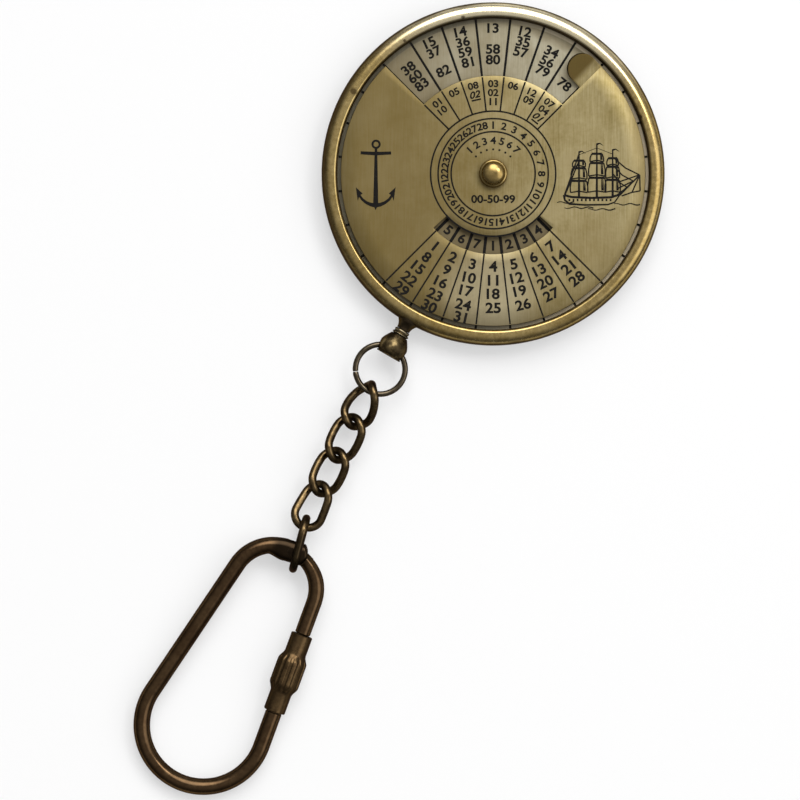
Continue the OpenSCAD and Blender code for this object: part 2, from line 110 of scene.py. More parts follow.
class Graph:
    """A material's or the world's node tree, filled through one method."""

    def __init__(self, tree: bpy.types.NodeTree) -> None:
        """Empties a tree and keeps it for filling."""
        self.tree = tree
        tree.nodes.clear()

    def node(
        self,
        kind: str,
        settings: dict[str, object] | None = None,
        inputs: dict[str | int, object] | None = None,
    ) -> bpy.types.Node:
        """Adds a node of any kind.

        Args:
            kind: The node's type.
            settings: Properties, set before the sockets.
            inputs: Values or links of its sockets, by name or number.

        Returns:
            The new node.
        """
        made = self.tree.nodes.new(kind)
        for key, value in (settings or {}).items():
            setattr(made, key, value)
        for key, value in (inputs or {}).items():
            if isinstance(value, Socket):
                self.tree.links.new(value.link, made.inputs[key])
            else:
                made.inputs[key].default_value = value
        return made

    def value(
        self,
        kind: str,
        settings: dict[str, object] | None = None,
        inputs: dict[str | int, object] | None = None,
        output: str | int = 0,
    ) -> Socket:
        """Adds a node and wraps one of its outputs.

        Args:
            kind: The node's type.
            settings: Properties, set before the sockets.
            inputs: Values or links of its sockets.
            output: Name or number of the wanted output.

        Returns:
            The wrapped output.
        """
        return Socket(self, self.node(kind, settings, inputs).outputs[output])

    def maths(self, operation: str, *values: "Socket | float") -> Socket:
        """One Math node on the given values."""
        return self.value("ShaderNodeMath", {"operation": operation}, dict(enumerate(values)))

    def most(self, *values: "Socket | float") -> Socket:
        """The largest of some values."""
        return reduce(lambda first, second: self.maths("MAXIMUM", first, second), values)

    def mix(self, share: "Socket | float", first: "Socket | Colour", second: "Socket | Colour") -> Socket:
        """Blend of two colours.

        Args:
            share: How much of the second colour shows.
            first: Colour at 0.
            second: Colour at 1.

        Returns:
            The blended colour.
        """
        ends = [c if isinstance(c, Socket) else (*c, 1.0) for c in (first, second)]
        settings = {"data_type": "RGBA"}
        return self.value("ShaderNodeMix", settings, {0: share, 6: ends[0], 7: ends[1]}, 2)

    def band(self, value: Socket, low: float, high: float) -> Socket:
        """Smooth step from 0 at one value to 1 at another."""
        settings = {"interpolation_type": "SMOOTHSTEP"}
        return self.value("ShaderNodeMapRange", settings, {"Value": value, "From Min": low, "From Max": high})

    def noise(self, place: Socket, scale: float, detail: float = 3.0, rough: float = 0.55) -> Socket:
        """Fractal noise of about 0.5 on average, with its scale per millimetre."""
        inputs = {"Vector": place, "Scale": scale, "Detail": detail, "Roughness": rough}
        return self.value("ShaderNodeTexNoise", None, inputs, "Fac")

    def place(self, turn: float = 0.0) -> Socket:
        """Object coordinates in millimetres.

        Args:
            turn: Angle in degrees that they are turned about the dial's axis.

        Returns:
            The coordinates.
        """
        source = self.value("ShaderNodeTexCoord", None, None, "Object")
        inputs = {"Vector": source, "Scale": (1 / MM,) * 3, "Rotation": (0.0, 0.0, math.radians(turn))}
        return self.value("ShaderNodeMapping", None, inputs)

    def stretch(self, place: Socket, scale: Triple) -> Socket:
        """Coordinates scaled apart along their axes."""
        return self.value("ShaderNodeMapping", None, {"Vector": place, "Scale": scale})

    def parts(self, vector: Socket) -> list[Socket]:
        """The three numbers of a vector."""
        node = self.node("ShaderNodeSeparateXYZ", None, {0: vector})
        return [Socket(self, out) for out in node.outputs]

    def reach(self, place: Socket, x: float, y: float) -> Socket:
        """Distance in plan from a spot, in millimetres."""
        inputs = {0: self.stretch(place, (1.0, 1.0, 0.0)), 1: (x, y, 0.0)}
        return self.value("ShaderNodeVectorMath", {"operation": "DISTANCE"}, inputs, "Value")

    def radius(self, place: Socket) -> Socket:
        """Distance from the dial's axis, in millimetres."""
        return self.reach(place, 0.0, 0.0)

    def upward(self) -> Socket:
        """How far the surface faces up or down along the piece's own Z, from 0 to 1."""
        normal = self.value("ShaderNodeTexCoord", None, None, "Normal")
        return self.maths("ABSOLUTE", self.parts(normal)[2])


def blank_material(name: str) -> tuple[bpy.types.Material, Graph]:
    """Makes a material with an empty tree.

    Args:
        name: The material's name.

    Returns:
        The material, and the graph of its tree.
    """
    material = bpy.data.materials.new(name)
    material.use_nodes = True
    return material, Graph(material.node_tree)


class Grain(Enum):
    """How the fine lines of a finish run."""

    BRUSHED = "brushed"
    TURNED = "turned"
    TUMBLED = "tumbled"


@dataclass(frozen=True)
class BrassFinish:
    """Aged brass: a clouded base, fine lines of wear and a dark patina; finishes built on it add painted
    shade and painted highlights.
    """

    name: str
    base: Colour
    pale: Colour
    patina: Colour
    roughness: float
    grain: Grain = Grain.TUMBLED
    clouds: float = 0.16
    lines: float = 0.4
    tarnish: float = 0.3
    relief: float = 5.0
    edge_tint: Colour = (0.5, 0.42, 0.28)
    bright: Colour = (0.9, 0.8, 0.55)
    grit: float = 2.6
    brush: Triple = (7.0, 0.22, 1.0)
    tarnish_band: Point = (0.5, 0.74)
    wear_band: Point = (0.3, 0.72)
    wear_clouds: float = 0.5
    wear_grit: float = 0.15
    rough_lines: float = 0.14
    rough_grit: float = 0.12
    rough_patina_and_shade: float = 0.22
    dull_patina_and_shade: float = 0.15
    line_relief: float = 0.65
    specular: float = 0.2

    def fine_lines(self, graph: Graph, place: Socket) -> Socket:
        """Fine strokes along the finish's grain.

        Args:
            graph: The material's graph.
            place: Coordinates in millimetres.

        Returns:
            A value about 0.5, lighter and darker by strokes.
        """
        if self.grain is Grain.BRUSHED:
            return graph.noise(graph.stretch(place, self.brush), 1.0, 4.0, 0.65)
        if self.grain is Grain.TURNED:
            settings = {"noise_dimensions": "1D"}
            inputs = {"W": graph.radius(place), "Scale": 5.0, "Detail": 3.0}
            return graph.value("ShaderNodeTexNoise", settings, inputs, "Fac")
        return graph.noise(place, 1.3, 4.0, 0.6)

    def patina_and_shade(self, graph: Graph, place: Socket, cloud: Socket) -> Socket:
        """Where the patina lies; finishes built on this one add painted shade to it.

        Args:
            graph: The material's graph.
            place: Coordinates in millimetres.
            cloud: The broad mottling.

        Returns:
            The patina's share, from 0 to 1.
        """
        return graph.band(cloud, *self.tarnish_band) * self.tarnish

    def rubbing_and_highlight(self, graph: Graph, place: Socket) -> "Socket | float":
        """Where the metal is painted pale: rubbed by handling in some finishes, a painted highlight in
        others.

        Args:
            graph: The material's graph.
            place: Coordinates in millimetres.

        Returns:
            The bright metal's share, from 0 to 1.
        """
        return 0.0

    def painted_shade(self, graph: Graph, place: Socket) -> "Socket | float":
        """Where shade is painted on in black.

        Args:
            graph: The material's graph.
            place: Coordinates in millimetres.

        Returns:
            The black's share, from 0 to 1.
        """
        return 0.0

    def dress(self) -> bpy.types.Material:
        """Makes the finish's material.

        Returns:
            The material.
        """
        material, graph = blank_material(self.name)
        place = graph.place(-DIAL_TURN)
        cloud = graph.noise(place, self.clouds, 4.0, 0.6)
        lines = self.fine_lines(graph, place)
        grit = graph.noise(place, self.grit, 3.0, 0.7)
        # Patina, and in some finishes painted shade, darkens the metal by this share.
        patina_and_shade = self.patina_and_shade(graph, place, cloud)
        rubbed = cloud * self.wear_clouds + lines * self.lines + grit * self.wear_grit
        worn_and_highlit = graph.mix(graph.band(rubbed, *self.wear_band), self.base, self.pale)
        # Rubbed metal and painted highlights mix in here, towards the bright colour.
        worn_and_highlit = graph.mix(self.rubbing_and_highlight(graph, place), worn_and_highlit, self.bright)
        metal = graph.mix(patina_and_shade, worn_and_highlit, self.patina)
        rough = self.roughness + (lines - 0.5) * self.rough_lines + (grit - 0.5) * self.rough_grit
        height = lines * self.line_relief + grit * (1.0 - self.line_relief)
        relief = {"Distance": self.relief * MM * MM, "Height": height}
        inputs = {
            # Painted shade is laid over the metal here.
            "Base Color": graph.mix(self.painted_shade(graph, place), metal, PAINTED_SHADE_BLACK),
            "Roughness": rough + patina_and_shade * self.rough_patina_and_shade,
            "Metallic": 1.0 - patina_and_shade * self.dull_patina_and_shade,
            "Normal": graph.value("ShaderNodeBump", None, relief),
            "Specular IOR Level": self.specular,
            "Specular Tint": (*self.edge_tint, 1.0),
        }
        surface = graph.value("ShaderNodeBsdfPrincipled", None, inputs)
        graph.node("ShaderNodeOutputMaterial", None, {"Surface": surface})
        return material


@dataclass(frozen=True)
class RimFinish(BrassFinish):
    """Polished rim with a painted dark outer flank, a painted highlight down one side and old spots near its
    seam.
    """

    flank: Point = (24.3, 25.05)
    flank_share: float = 0.93
    flank_lean: float = -0.015
    ragged: float = 0.9
    corner: Point = (22.95, 22.83)
    corner_share: float = 0.8
    black_side: Point = (24.6, 24.95)
    black_share: float = 0.8
    # Painted highlight down the side of the rim that faces the light.
    highlight_side: float = 82.0
    highlight_from: Point = (13.0, 24.0)
    highlight_share: float = 0.9
    spot_share: float = 0.85
    spot_core: float = 0.4
    spots: tuple[Triple, ...] = (
        (-20.3, 11.9, 0.85),
        (-4.4, 22.7, 0.45),
        (-12.9, 19.3, 0.4),
        (21.4, 8.2, 0.5),
    )

    def patina_and_shade(self, graph: Graph, place: Socket, cloud: Socket) -> Socket:
        """Painted shade on the outer flank, deeper on the left, and patina in the inner corner and in the
        spots.

        Args:
            graph: The material's graph.
            place: Coordinates in millimetres.
            cloud: The broad mottling.

        Returns:
            The share of patina and painted shade, from 0 to 1.
        """
        ring = graph.radius(place)
        across, _, _ = graph.parts(place)
        lean = graph.most(across * self.flank_lean, 0.0)
        # Painted shade: the outer flank darkened as if it reflected a dark room, more on the left.
        shares = [graph.band(ring + lean + (cloud - 0.5) * self.ragged, *self.flank) * self.flank_share]
        shares.append(graph.band(ring, *self.corner) * self.corner_share)
        for x, y, size in self.spots:
            gap = graph.reach(place, x, y) + (cloud - 0.5) * 0.5
            shares.append(graph.band(gap, size, size * self.spot_core) * self.spot_share)
        return graph.most(*shares)

    def rubbing_and_highlight(self, graph: Graph, place: Socket) -> Socket:
        """Painted highlight along one side of the rim.

        Args:
            graph: The material's graph.
            place: Coordinates in millimetres.

        Returns:
            The bright metal's share, from 0 to 1.
        """
        across, up, _ = graph.parts(place)
        x, y = polar(1.0, self.highlight_side)
        return graph.band(across * x + up * y, *self.highlight_from) * self.highlight_share

    def painted_shade(self, graph: Graph, place: Socket) -> Socket:
        """Painted shade, black down the outer side."""
        return graph.band(graph.radius(place), *self.black_side) * self.black_share


@dataclass(frozen=True)
class FaceFinish(BrassFinish):
    """Brushed plate with a reddish bloom towards its edge and round its centre, with painted shade over one
    side, on its tab and on its cut walls.
    """

    bloom: Point = (20.4, 22.4)
    bloom_share: float = 0.6
    bloom_drift: float = 5.0
    spread: Point = (0.5, 0.72)
    shaded: Point = (20.0, -14.0)
    shaded_rise: float = 0.3
    shaded_share: float = 0.75
    shaded_drift: float = 12.0
    lifted: Point = (3.68, 4.1)
    patch_core: float = 0.3
    pale_patch: Triple = (-1.0, -17.5, 10.0)
    pale_share: float = 0.4
    pale_clean: float = 0.6
    dark_patch: Triple = (14.5, -11.0, 8.0)
    dark_share: float = 0.4
    wall: Point = (0.55, 0.2)
    wall_share: float = 0.9

    def patch(self, graph: Graph, place: Socket, spot: Triple) -> Socket:
        """Share of a round patch with soft edges.

        Args:
            graph: The material's graph.
            place: Coordinates in millimetres.
            spot: The patch's middle and its radius.

        Returns:
            The patch's share, from 0 to 1.
        """
        x, y, size = spot
        return graph.band(graph.reach(place, x, y), size, size * self.patch_core)

    def rubbing_and_highlight(self, graph: Graph, place: Socket) -> Socket:
        """Pale metal under the date columns."""
        return self.patch(graph, place, self.pale_patch) * self.pale_share

    def patina_and_shade(self, graph: Graph, place: Socket, cloud: Socket) -> Socket:
        """Bloom that grows towards the edge, broken by the clouds, with painted shade over one side and on
        the lifted tab.

        Args:
            graph: The material's graph.
            place: Coordinates in millimetres.
            cloud: The broad mottling.

        Returns:
            The share of patina and painted shade, from 0 to 1.
        """
        across, up, height = graph.parts(place)
        drift = cloud - 0.5
        rim = graph.band(graph.radius(place) + drift * self.bloom_drift, *self.bloom) * self.bloom_share
        spread = graph.band(cloud, *self.spread) * self.tarnish
        # Painted shade: darker towards the left and the bottom, as the light falls across the dial.
        shaded_side = graph.band(across + up * self.shaded_rise + drift * self.shaded_drift, *self.shaded)
        clean = 1.0 - self.patch(graph, place, self.pale_patch) * self.pale_clean
        share = graph.most(rim, spread, shaded_side * self.shaded_share) * clean
        dark = self.patch(graph, place, self.dark_patch) * self.dark_share
        # The lifted tab is painted dark all over: painted shade for its upward tilt.
        return graph.most(share, dark, graph.band(height, *self.lifted))

    def painted_shade(self, graph: Graph, place: Socket) -> Socket:
        """Painted shade, black on the cut walls of the windows and of the edge."""
        return graph.band(graph.upward(), *self.wall) * self.wall_share


@dataclass(frozen=True)
class PlateFinish(FaceFinish):
    """Fixed plate, with painted shade deep under the day window, and the gap outside the dial painted light
    on one side and painted shade on the other.
    """

    well: Point = (13.0, 12.4)
    well_share: float = 0.9
    gap_edge: Point = (22.05, 22.2)
    gap_corner: Point = (22.58, 22.74)
    gap_side: Point = (-8.0, 18.0)
    gap_pale: float = 0.5
    gap_lighten: float = 0.8
    gap_black: float = 0.6
    corner_black: float = 0.75

    def gap(self, graph: Graph, place: Socket) -> Socket:
        """Share of the ring outside the dial."""
        return graph.band(graph.radius(place), *self.gap_edge)

    def rubbing_and_highlight(self, graph: Graph, place: Socket) -> Socket:
        """Painted light, pale metal in the gap outside the dial, most on one side."""
        across, _, _ = graph.parts(place)
        return self.gap(graph, place) * graph.band(across, *self.gap_side) * self.gap_pale

    def patina_and_shade(self, graph: Graph, place: Socket, cloud: Socket) -> Socket:
        """The plate's bloom, with painted shade in its dark middle.

        Args:
            graph: The material's graph.
            place: Coordinates in millimetres.
            cloud: The broad mottling.

        Returns:
            The share of patina and painted shade, from 0 to 1.
        """
        # Painted shade deep in the well under the day window.
        deep = graph.band(graph.radius(place), *self.well) * self.well_share
        share = graph.most(deep, super().patina_and_shade(graph, place, cloud))
        # Painted light: the darkening is taken out of the gap.
        return share * (1.0 - self.gap(graph, place) * self.gap_lighten)

    def painted_shade(self, graph: Graph, place: Socket) -> Socket:
        """Painted shade, black in the corner under the rim and over the gap's other side.

        Args:
            graph: The material's graph.
            place: Coordinates in millimetres.

        Returns:
            The black's share, from 0 to 1.
        """
        across, _, _ = graph.parts(place)
        far = self.gap(graph, place) * graph.band(across, *reversed(self.gap_side)) * self.gap_black
        return graph.most(far, graph.band(graph.radius(place), *self.gap_corner) * self.corner_black)


@dataclass(frozen=True)
class WireFinish(BrassFinish):
    """Dark antique wire, with painted shade down its flanks that leaves its top lighter."""

    flank: float = 0.35
    crown: float = 0.9
    flank_share: float = 0.92
    flank_drift: float = 0.5
    tarnish_band: Point = (0.46, 0.7)

    def patina_and_shade(self, graph: Graph, place: Socket, cloud: Socket) -> Socket:
        """Painted shade on the flanks, broken by the clouds, and the patina.

        Args:
            graph: The material's graph.
            place: Coordinates in millimetres.
            cloud: The broad mottling.

        Returns:
            The share of patina and painted shade, from 0 to 1.
        """
        # Painted shade: the wire darkens where its surface turns away from the top.
        side = graph.band(graph.upward() + (cloud - 0.5) * self.flank_drift, self.crown, self.flank)
        return graph.most(side * self.flank_share, super().patina_and_shade(graph, place, cloud))


@dataclass(frozen=True)
class FleckFinish(WireFinish):
    """Antique brass rubbed through to bright flecks."""

    fleck_scale: float = 1.0
    fleck_band: Point = (0.66, 0.42)
    fleck_share: float = 0.8
    collar: Point = (27.4, 27.1)
    collar_bright: float = 0.2
    collar_unflecked: float = 0.7

    def rubbing_and_highlight(self, graph: Graph, place: Socket) -> Socket:
        """Rubbed wear and a painted highlight on the beads of the collar."""
        return graph.band(graph.radius(place), *self.collar) * self.collar_bright

    def patina_and_shade(self, graph: Graph, place: Socket, cloud: Socket) -> Socket:
        """Patina that leaves bright flecks, kept off the collar's beads, with painted shade on the flanks.

        Args:
            graph: The material's graph.
            place: Coordinates in millimetres.
            cloud: The broad mottling.

        Returns:
            The share of patina and painted shade, from 0 to 1.
        """
        fleck = graph.band(graph.noise(place, self.fleck_scale, 3.0, 0.6), *self.fleck_band)
        bare = 1.0 - graph.band(graph.radius(place), *self.collar) * self.collar_unflecked
        return graph.most(fleck * bare * self.fleck_share, super().patina_and_shade(graph, place, cloud))


@dataclass(frozen=True)
class ForkFinish(WireFinish):
    """Bronzed wire, with painted shade round the hinge fork."""

    fork_black: Point = (3.7, 2.1)
    fork_share: float = 0.8

    def painted_shade(self, graph: Graph, place: Socket) -> Socket:
        """Painted shade, black round the hinge."""
        fork = turn_z(-DIAL_TURN) @ joint_place("gate_open")
        return graph.band(graph.reach(place, fork.x, fork.y), *self.fork_black) * self.fork_share


@dataclass(frozen=True)
class InkFinish:
    """Black wax let into the engraving, with a little dust on it."""

    name: str = "engraving_wax"
    base: Colour = (0.008, 0.007, 0.006)
    dust: Colour = (0.018, 0.015, 0.01)
    grit: float = 2.2
    dust_band: Point = (0.5, 0.75)
    roughness: float = 0.5
    rough_grit: float = 0.25
    specular: float = 0.1

    def dress(self) -> bpy.types.Material:
        """Makes the wax's material.

        Returns:
            The material.
        """
        material, graph = blank_material(self.name)
        grit = graph.noise(graph.place(), self.grit, 3.0, 0.65)
        inputs = {
            "Base Color": graph.mix(graph.band(grit, *self.dust_band), self.base, self.dust),
            "Roughness": self.roughness + grit * self.rough_grit,
            "Specular IOR Level": self.specular,
        }
        surface = graph.value("ShaderNodeBsdfPrincipled", None, inputs)
        graph.node("ShaderNodeOutputMaterial", None, {"Surface": surface})
        return material


@lru_cache(maxsize=None)
def dressed(finish: "BrassFinish | InkFinish") -> bpy.types.Material:
    """The one material of a finish."""
    return finish.dress()


RIM = RimFinish("rim_polished", (0.31, 0.21, 0.062), (0.55, 0.41, 0.175), (0.035, 0.021, 0.009), 0.2)
BACK = BrassFinish(
    "back_turned",
    (0.26, 0.19, 0.08),
    (0.39, 0.30, 0.145),
    (0.09, 0.054, 0.025),
    0.42,
    Grain.TURNED,
)
PLATE = PlateFinish(
    "plate_greyed",
    (0.3, 0.258, 0.16),
    (0.475, 0.442, 0.33),
    (0.17, 0.13, 0.065),
    0.42,
    Grain.BRUSHED,
    bright=(0.8, 0.66, 0.46),
)
DIAL = FaceFinish(
    "dial_brushed",
    (0.25, 0.19, 0.065),
    (0.46, 0.382, 0.205),
    (0.15, 0.105, 0.034),
    0.36,
    Grain.BRUSHED,
    bright=(0.6, 0.54, 0.4),
)
PIVOT = BrassFinish("pivot_satin", (0.25, 0.165, 0.053), (0.43, 0.31, 0.12), (0.10, 0.057, 0.022), 0.22)
NECK = BrassFinish("neck_blackened", (0.028, 0.019, 0.011), (0.06, 0.043, 0.024), (0.014, 0.01, 0.006), 0.42)
BELL = FleckFinish("bell_mottled", (0.055, 0.034, 0.015), (0.26, 0.19, 0.088), (0.012, 0.008, 0.005), 0.2)
RING = WireFinish("ring_antique", (0.062, 0.047, 0.029), (0.16, 0.128, 0.085), (0.01, 0.008, 0.006), 0.16)
LINK_TONES = ((0.066, 0.04, 0.018), (0.27, 0.185, 0.085), (0.012, 0.008, 0.005), 0.17)
# Tarnish clouds, and the flank and crown of the painted shade on the links.
LINK_WEAR_AND_SHADE = {"clouds": 0.45, "tarnish": 0.85, "flank": 0.62, "crown": 1.0}
CHAIN = WireFinish("chain_antique", *LINK_TONES, **LINK_WEAR_AND_SHADE)
END_LINK = ForkFinish("end_link_antique", *LINK_TONES, **LINK_WEAR_AND_SHADE)
SHACKLE = ForkFinish(
    "shackle_bronzed",
    (0.064, 0.036, 0.018),
    (0.125, 0.077, 0.038),
    (0.014, 0.009, 0.006),
    0.16,
)
SLEEVE = WireFinish(
    "sleeve_bronzed",
    (0.06, 0.035, 0.017),
    (0.15, 0.095, 0.043),
    (0.016, 0.01, 0.006),
    0.27,
    flank=0.5,
    crown=0.97,
)
PIN = BrassFinish("pin_dark", (0.012, 0.008, 0.005), (0.03, 0.02, 0.012), (0.006, 0.004, 0.003), 0.5)
WAX = InkFinish()


def polar(radius: float, angle: float) -> Point:
    """Point at a radius and an angle in degrees."""
    turn = math.radians(angle)
    return radius * math.cos(turn), radius * math.sin(turn)


def arc(centre: Point, radius: float, start: float, end: float, steps: int) -> list[Point]:
    """Points along an arc.

    Args:
        centre: The arc's centre.
        radius: Its radius.
        start: First angle in degrees.
        end: Last angle in degrees.
        steps: Number of steps between them.

    Returns:
        The points, both ends included.
    """
    spots = [polar(radius, start + (end - start) * i / steps) for i in range(steps + 1)]
    return [(centre[0] + x, centre[1] + y) for x, y in spots]


def ease(share: float) -> float:
    """Smooth step from 0 to 1, held at both ends."""
    held = min(1.0, max(0.0, share))
    return held * held * (3.0 - 2.0 * held)


def turn_z(angle: float) -> Matrix:
    """Turn about Z by an angle in degrees."""
    return Matrix.Rotation(math.radians(angle), 4, "Z")


def shift(x: float, y: float, z: float) -> Matrix:
    """Move by three lengths."""
    return Matrix.Translation((x, y, z))


def joint_place(name: str) -> Vector:
    """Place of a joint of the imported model, in millimetres."""
    joint = next(j for j in frame["joints"] if j["name"] == name)
    return Vector(joint["pos_m"]) / MM


@dataclass(frozen=True)
class Seat:
    """Where a finished piece belongs: its body and the solids it stands for, and a slot name."""

    body: str
    slot: str
    stands_for: tuple[str, ...] = ()


@dataclass(frozen=True)
class Station:
    """One section of a drawn bar: its centre, its directions and its half sizes."""

    centre: Vector
    along: Vector
    up: Vector
    half_side: float
    half_up: float
    square: float = 2.0

    def spot(self, unit: Vector) -> Vector:
        """Place on this section of a point of the unit circle.

        Args:
            unit: The point.

        Returns:
            Its place.
        """
        power = 2.0 / self.square
        across = math.copysign(abs(unit.x) ** power, unit.x) * self.half_side
        rise = math.copysign(abs(unit.y) ** power, unit.y) * self.half_up
        return self.centre + self.along.cross(self.up).normalized() * across + self.up * rise


def linked(name: str, data: bpy.types.ID) -> bpy.types.Object:
    """Puts a new object into the scene's own collection.

    Args:
        name: The object's name.
        data: Its mesh, curve, lamp or camera.

    Returns:
        The object.
    """
    made = bpy.data.objects.new(name, data)
    bpy.context.scene.collection.objects.link(made)
    return made


def evaluated(source: bpy.types.Object) -> bpy.types.Mesh:
    """Makes a mesh of an object as its modifiers or its curve leave it.

    Args:
        source: The object.

    Returns:
        The new mesh.
    """
    bpy.context.view_layer.update()
    graph = bpy.context.evaluated_depsgraph_get()
    return bpy.data.meshes.new_from_object(source.evaluated_get(graph))


class Stock:
    """One piece in the making: a bmesh in millimetres and the tools that shape it."""

    def __init__(self) -> None:
        """Starts an empty piece."""
        self.bm = bmesh.new()

    def weld(self) -> None:
        """Merges doubled points and turns every face outwards."""
        bmesh.ops.remove_doubles(self.bm, verts=self.bm.verts[:], dist=WELD)
        bmesh.ops.recalc_face_normals(self.bm, faces=self.bm.faces[:])

    def place(self, matrix: Matrix) -> None:
        """Moves the whole piece."""
        bmesh.ops.transform(self.bm, matrix=matrix, verts=self.bm.verts[:])

    def lathe(self, outline: Sequence[Point], steps: int = 96) -> None:
        """Turns an outline about Z.

        Args:
            outline: (radius, height) points, from axis to axis or closed on themselves.
            steps: Number of steps round.
        """
        verts = [self.bm.verts.new((r, 0.0, z)) for r, z in outline]
        pairs = list(zip(verts, verts[1:]))
        if outline[0][0] > 0.0 or outline[-1][0] > 0.0:
            pairs.append((verts[-1], verts[0]))
        self.spin(verts, pairs, steps)

    def spin(
        self,
        verts: list[bmesh.types.BMVert],
        pairs: Iterable[tuple[bmesh.types.BMVert, bmesh.types.BMVert]],
        steps: int,
    ) -> None:
        """Joins points by edges and turns them once round Z.

        Args:
            verts: The points of the profile.
            pairs: Those to join.
            steps: Number of steps round.
        """
        edges = [self.bm.edges.new(pair) for pair in pairs]
        bmesh.ops.spin(
            self.bm,
            geom=verts + edges,
            cent=(0.0, 0.0, 0.0),
            axis=(0.0, 0.0, 1.0),
            angle=math.tau,
            steps=steps,
            use_merge=True,
        )
        self.weld()

    def rod(self, radius: float, length: float, matrix: Matrix, segments: int = 48) -> None:
        """Adds a cylinder centred on its place, along its own Z.

        Args:
            radius: The rod's radius.
            length: Its length.
            matrix: Its place.
            segments: Number of sides.
        """
        sizes = {"radius1": radius, "radius2": radius, "depth": length}
        bmesh.ops.create_cone(self.bm, cap_ends=True, segments=segments, matrix=matrix, **sizes)

    def block(self, size: Triple, matrix: Matrix) -> None:
        """Adds a box centred on its place."""
        scaled = matrix @ Matrix.Diagonal((*size, 1.0))
        bmesh.ops.create_cube(self.bm, size=1.0, matrix=scaled)

    def hoop(self, ring: Sequence[bmesh.types.BMVert]) -> list[bmesh.types.BMEdge]:
        """The edges that join the points of one ring."""
        members = set(ring)
        return list({e for v in ring for e in v.link_edges if e.other_vert(v) in members})

    def grow(self, ring: Sequence[bmesh.types.BMVert]) -> list[bmesh.types.BMVert]:
        """Extrudes a run of points along its edges.

        Args:
            ring: The points of the last section, in order.

        Returns:
            The new points, in the same order and still in the same places.
        """
        grown = bmesh.ops.extrude_edge_only(self.bm, edges=self.hoop(ring))["geom"]
        fresh = {g for g in grown if isinstance(g, bmesh.types.BMVert)}
        return [next(e.other_vert(v) for e in v.link_edges if e.other_vert(v) in fresh) for v in ring]

    def sweep(self, stations: Sequence[Station], sides: int, closed: bool = False) -> None:
        """Draws a bar through a run of stations.

        Args:
            stations: The bar's sections, in order.
            sides: Number of points round it.
            closed: Whether the last section meets the first.
        """
        ring = bmesh.ops.create_circle(self.bm, cap_ends=False, segments=sides, radius=1.0)["verts"]
        unit = [vert.co.copy() for vert in ring]
        first = self.hoop(ring)
        for number, station in enumerate(stations):
            if number:
                ring = self.grow(ring)
            for vert, spot in zip(ring, unit):
                vert.co = station.spot(spot)
        if closed:
            bmesh.ops.bridge_loops(self.bm, edges=first + self.hoop(ring))
        else:
            bmesh.ops.contextual_create(self.bm, geom=first)
            bmesh.ops.contextual_create(self.bm, geom=self.hoop(ring))
        self.weld()

    def thicken(self, faces: list[bmesh.types.BMFace], drop: float) -> None:
        """Gives a flat sheet its thickness, along Z.

        Args:
            faces: The sheet's faces.
            drop: How far its copy moves.
        """
        grown = bmesh.ops.extrude_face_region(self.bm, geom=faces)["geom"]
        verts = [g for g in grown if isinstance(g, bmesh.types.BMVert)]
        bmesh.ops.translate(self.bm, vec=(0.0, 0.0, drop), verts=verts)

    def slab(self, outline: Sequence[Point], thick: float) -> None:
        """Adds a flat slab, centred on the plane Z = 0.

        Args:
            outline: Its corners, in order.
            thick: Its thickness.
        """
        face = self.bm.faces.new([self.bm.verts.new((*point, -thick / 2)) for point in outline])
        self.thicken([face], thick)
        self.weld()

    def soften(self, edges: list[bmesh.types.BMEdge], width: float, segments: int = 2) -> None:
        """Bevels edges.

        Args:
            edges: The edges.
            width: Width of the bevel.
            segments: Number of steps across it.
        """
        bmesh.ops.bevel(
            self.bm,
            geom=edges,
            offset=width,
            offset_type="OFFSET",
            segments=segments,
            profile=0.5,
            affect="EDGES",
            clamp_overlap=True,
            material=-1,
        )

    def loose(self, name: str) -> bpy.types.Object:
        """Makes an object of the piece as it is now.

        Args:
            name: The object's name.

        Returns:
            The object.
        """
        mesh = bpy.data.meshes.new(name)
        self.bm.to_mesh(mesh)
        return linked(name, mesh)

    def cut(self, cutter: "Stock") -> None:
        """Takes a cutter's volume out of the piece.

        Args:
            cutter: The cutter, used up by the cut.
        """
        work = self.loose("work")
        tool = cutter.loose("tool")
        saw = work.modifiers.new("saw", "BOOLEAN")
        saw.operation = "DIFFERENCE"
        saw.solver = "EXACT"
        saw.object = tool
        result = evaluated(work)
        self.bm.clear()
        self.bm.from_mesh(result)
        bmesh.ops.dissolve_degenerate(self.bm, dist=WELD, edges=self.bm.edges[:])
        wide = [face for face in self.bm.faces if len(face.verts) > 4]
        bmesh.ops.triangulate(self.bm, faces=wide, ngon_method="BEAUTY")
        for passing in (work, tool):
            mesh = passing.data
            bpy.data.objects.remove(passing)
            bpy.data.meshes.remove(mesh)
        bpy.data.meshes.remove(result)
        cutter.bm.free()

    def drill(self, radius: float, length: float, matrix: Matrix, segments: int = 48) -> None:
        """Drills a round hole.

        Args:
            radius: The hole's radius.
            length: Length of the drill, centred on its place.
            matrix: Its place.
            segments: Number of sides.
        """
        bit = Stock()
        bit.rod(radius, length, matrix, segments)
        self.cut(bit)

    def join(self, other: "Stock") -> None:
        """Takes another piece's mesh in as a shell of this one.

        Args:
            other: The other piece, used up by the joining.
        """
        mesh = bpy.data.meshes.new("shell")
        other.bm.to_mesh(mesh)
        self.bm.from_mesh(mesh)
        bpy.data.meshes.remove(mesh)
        other.bm.free()

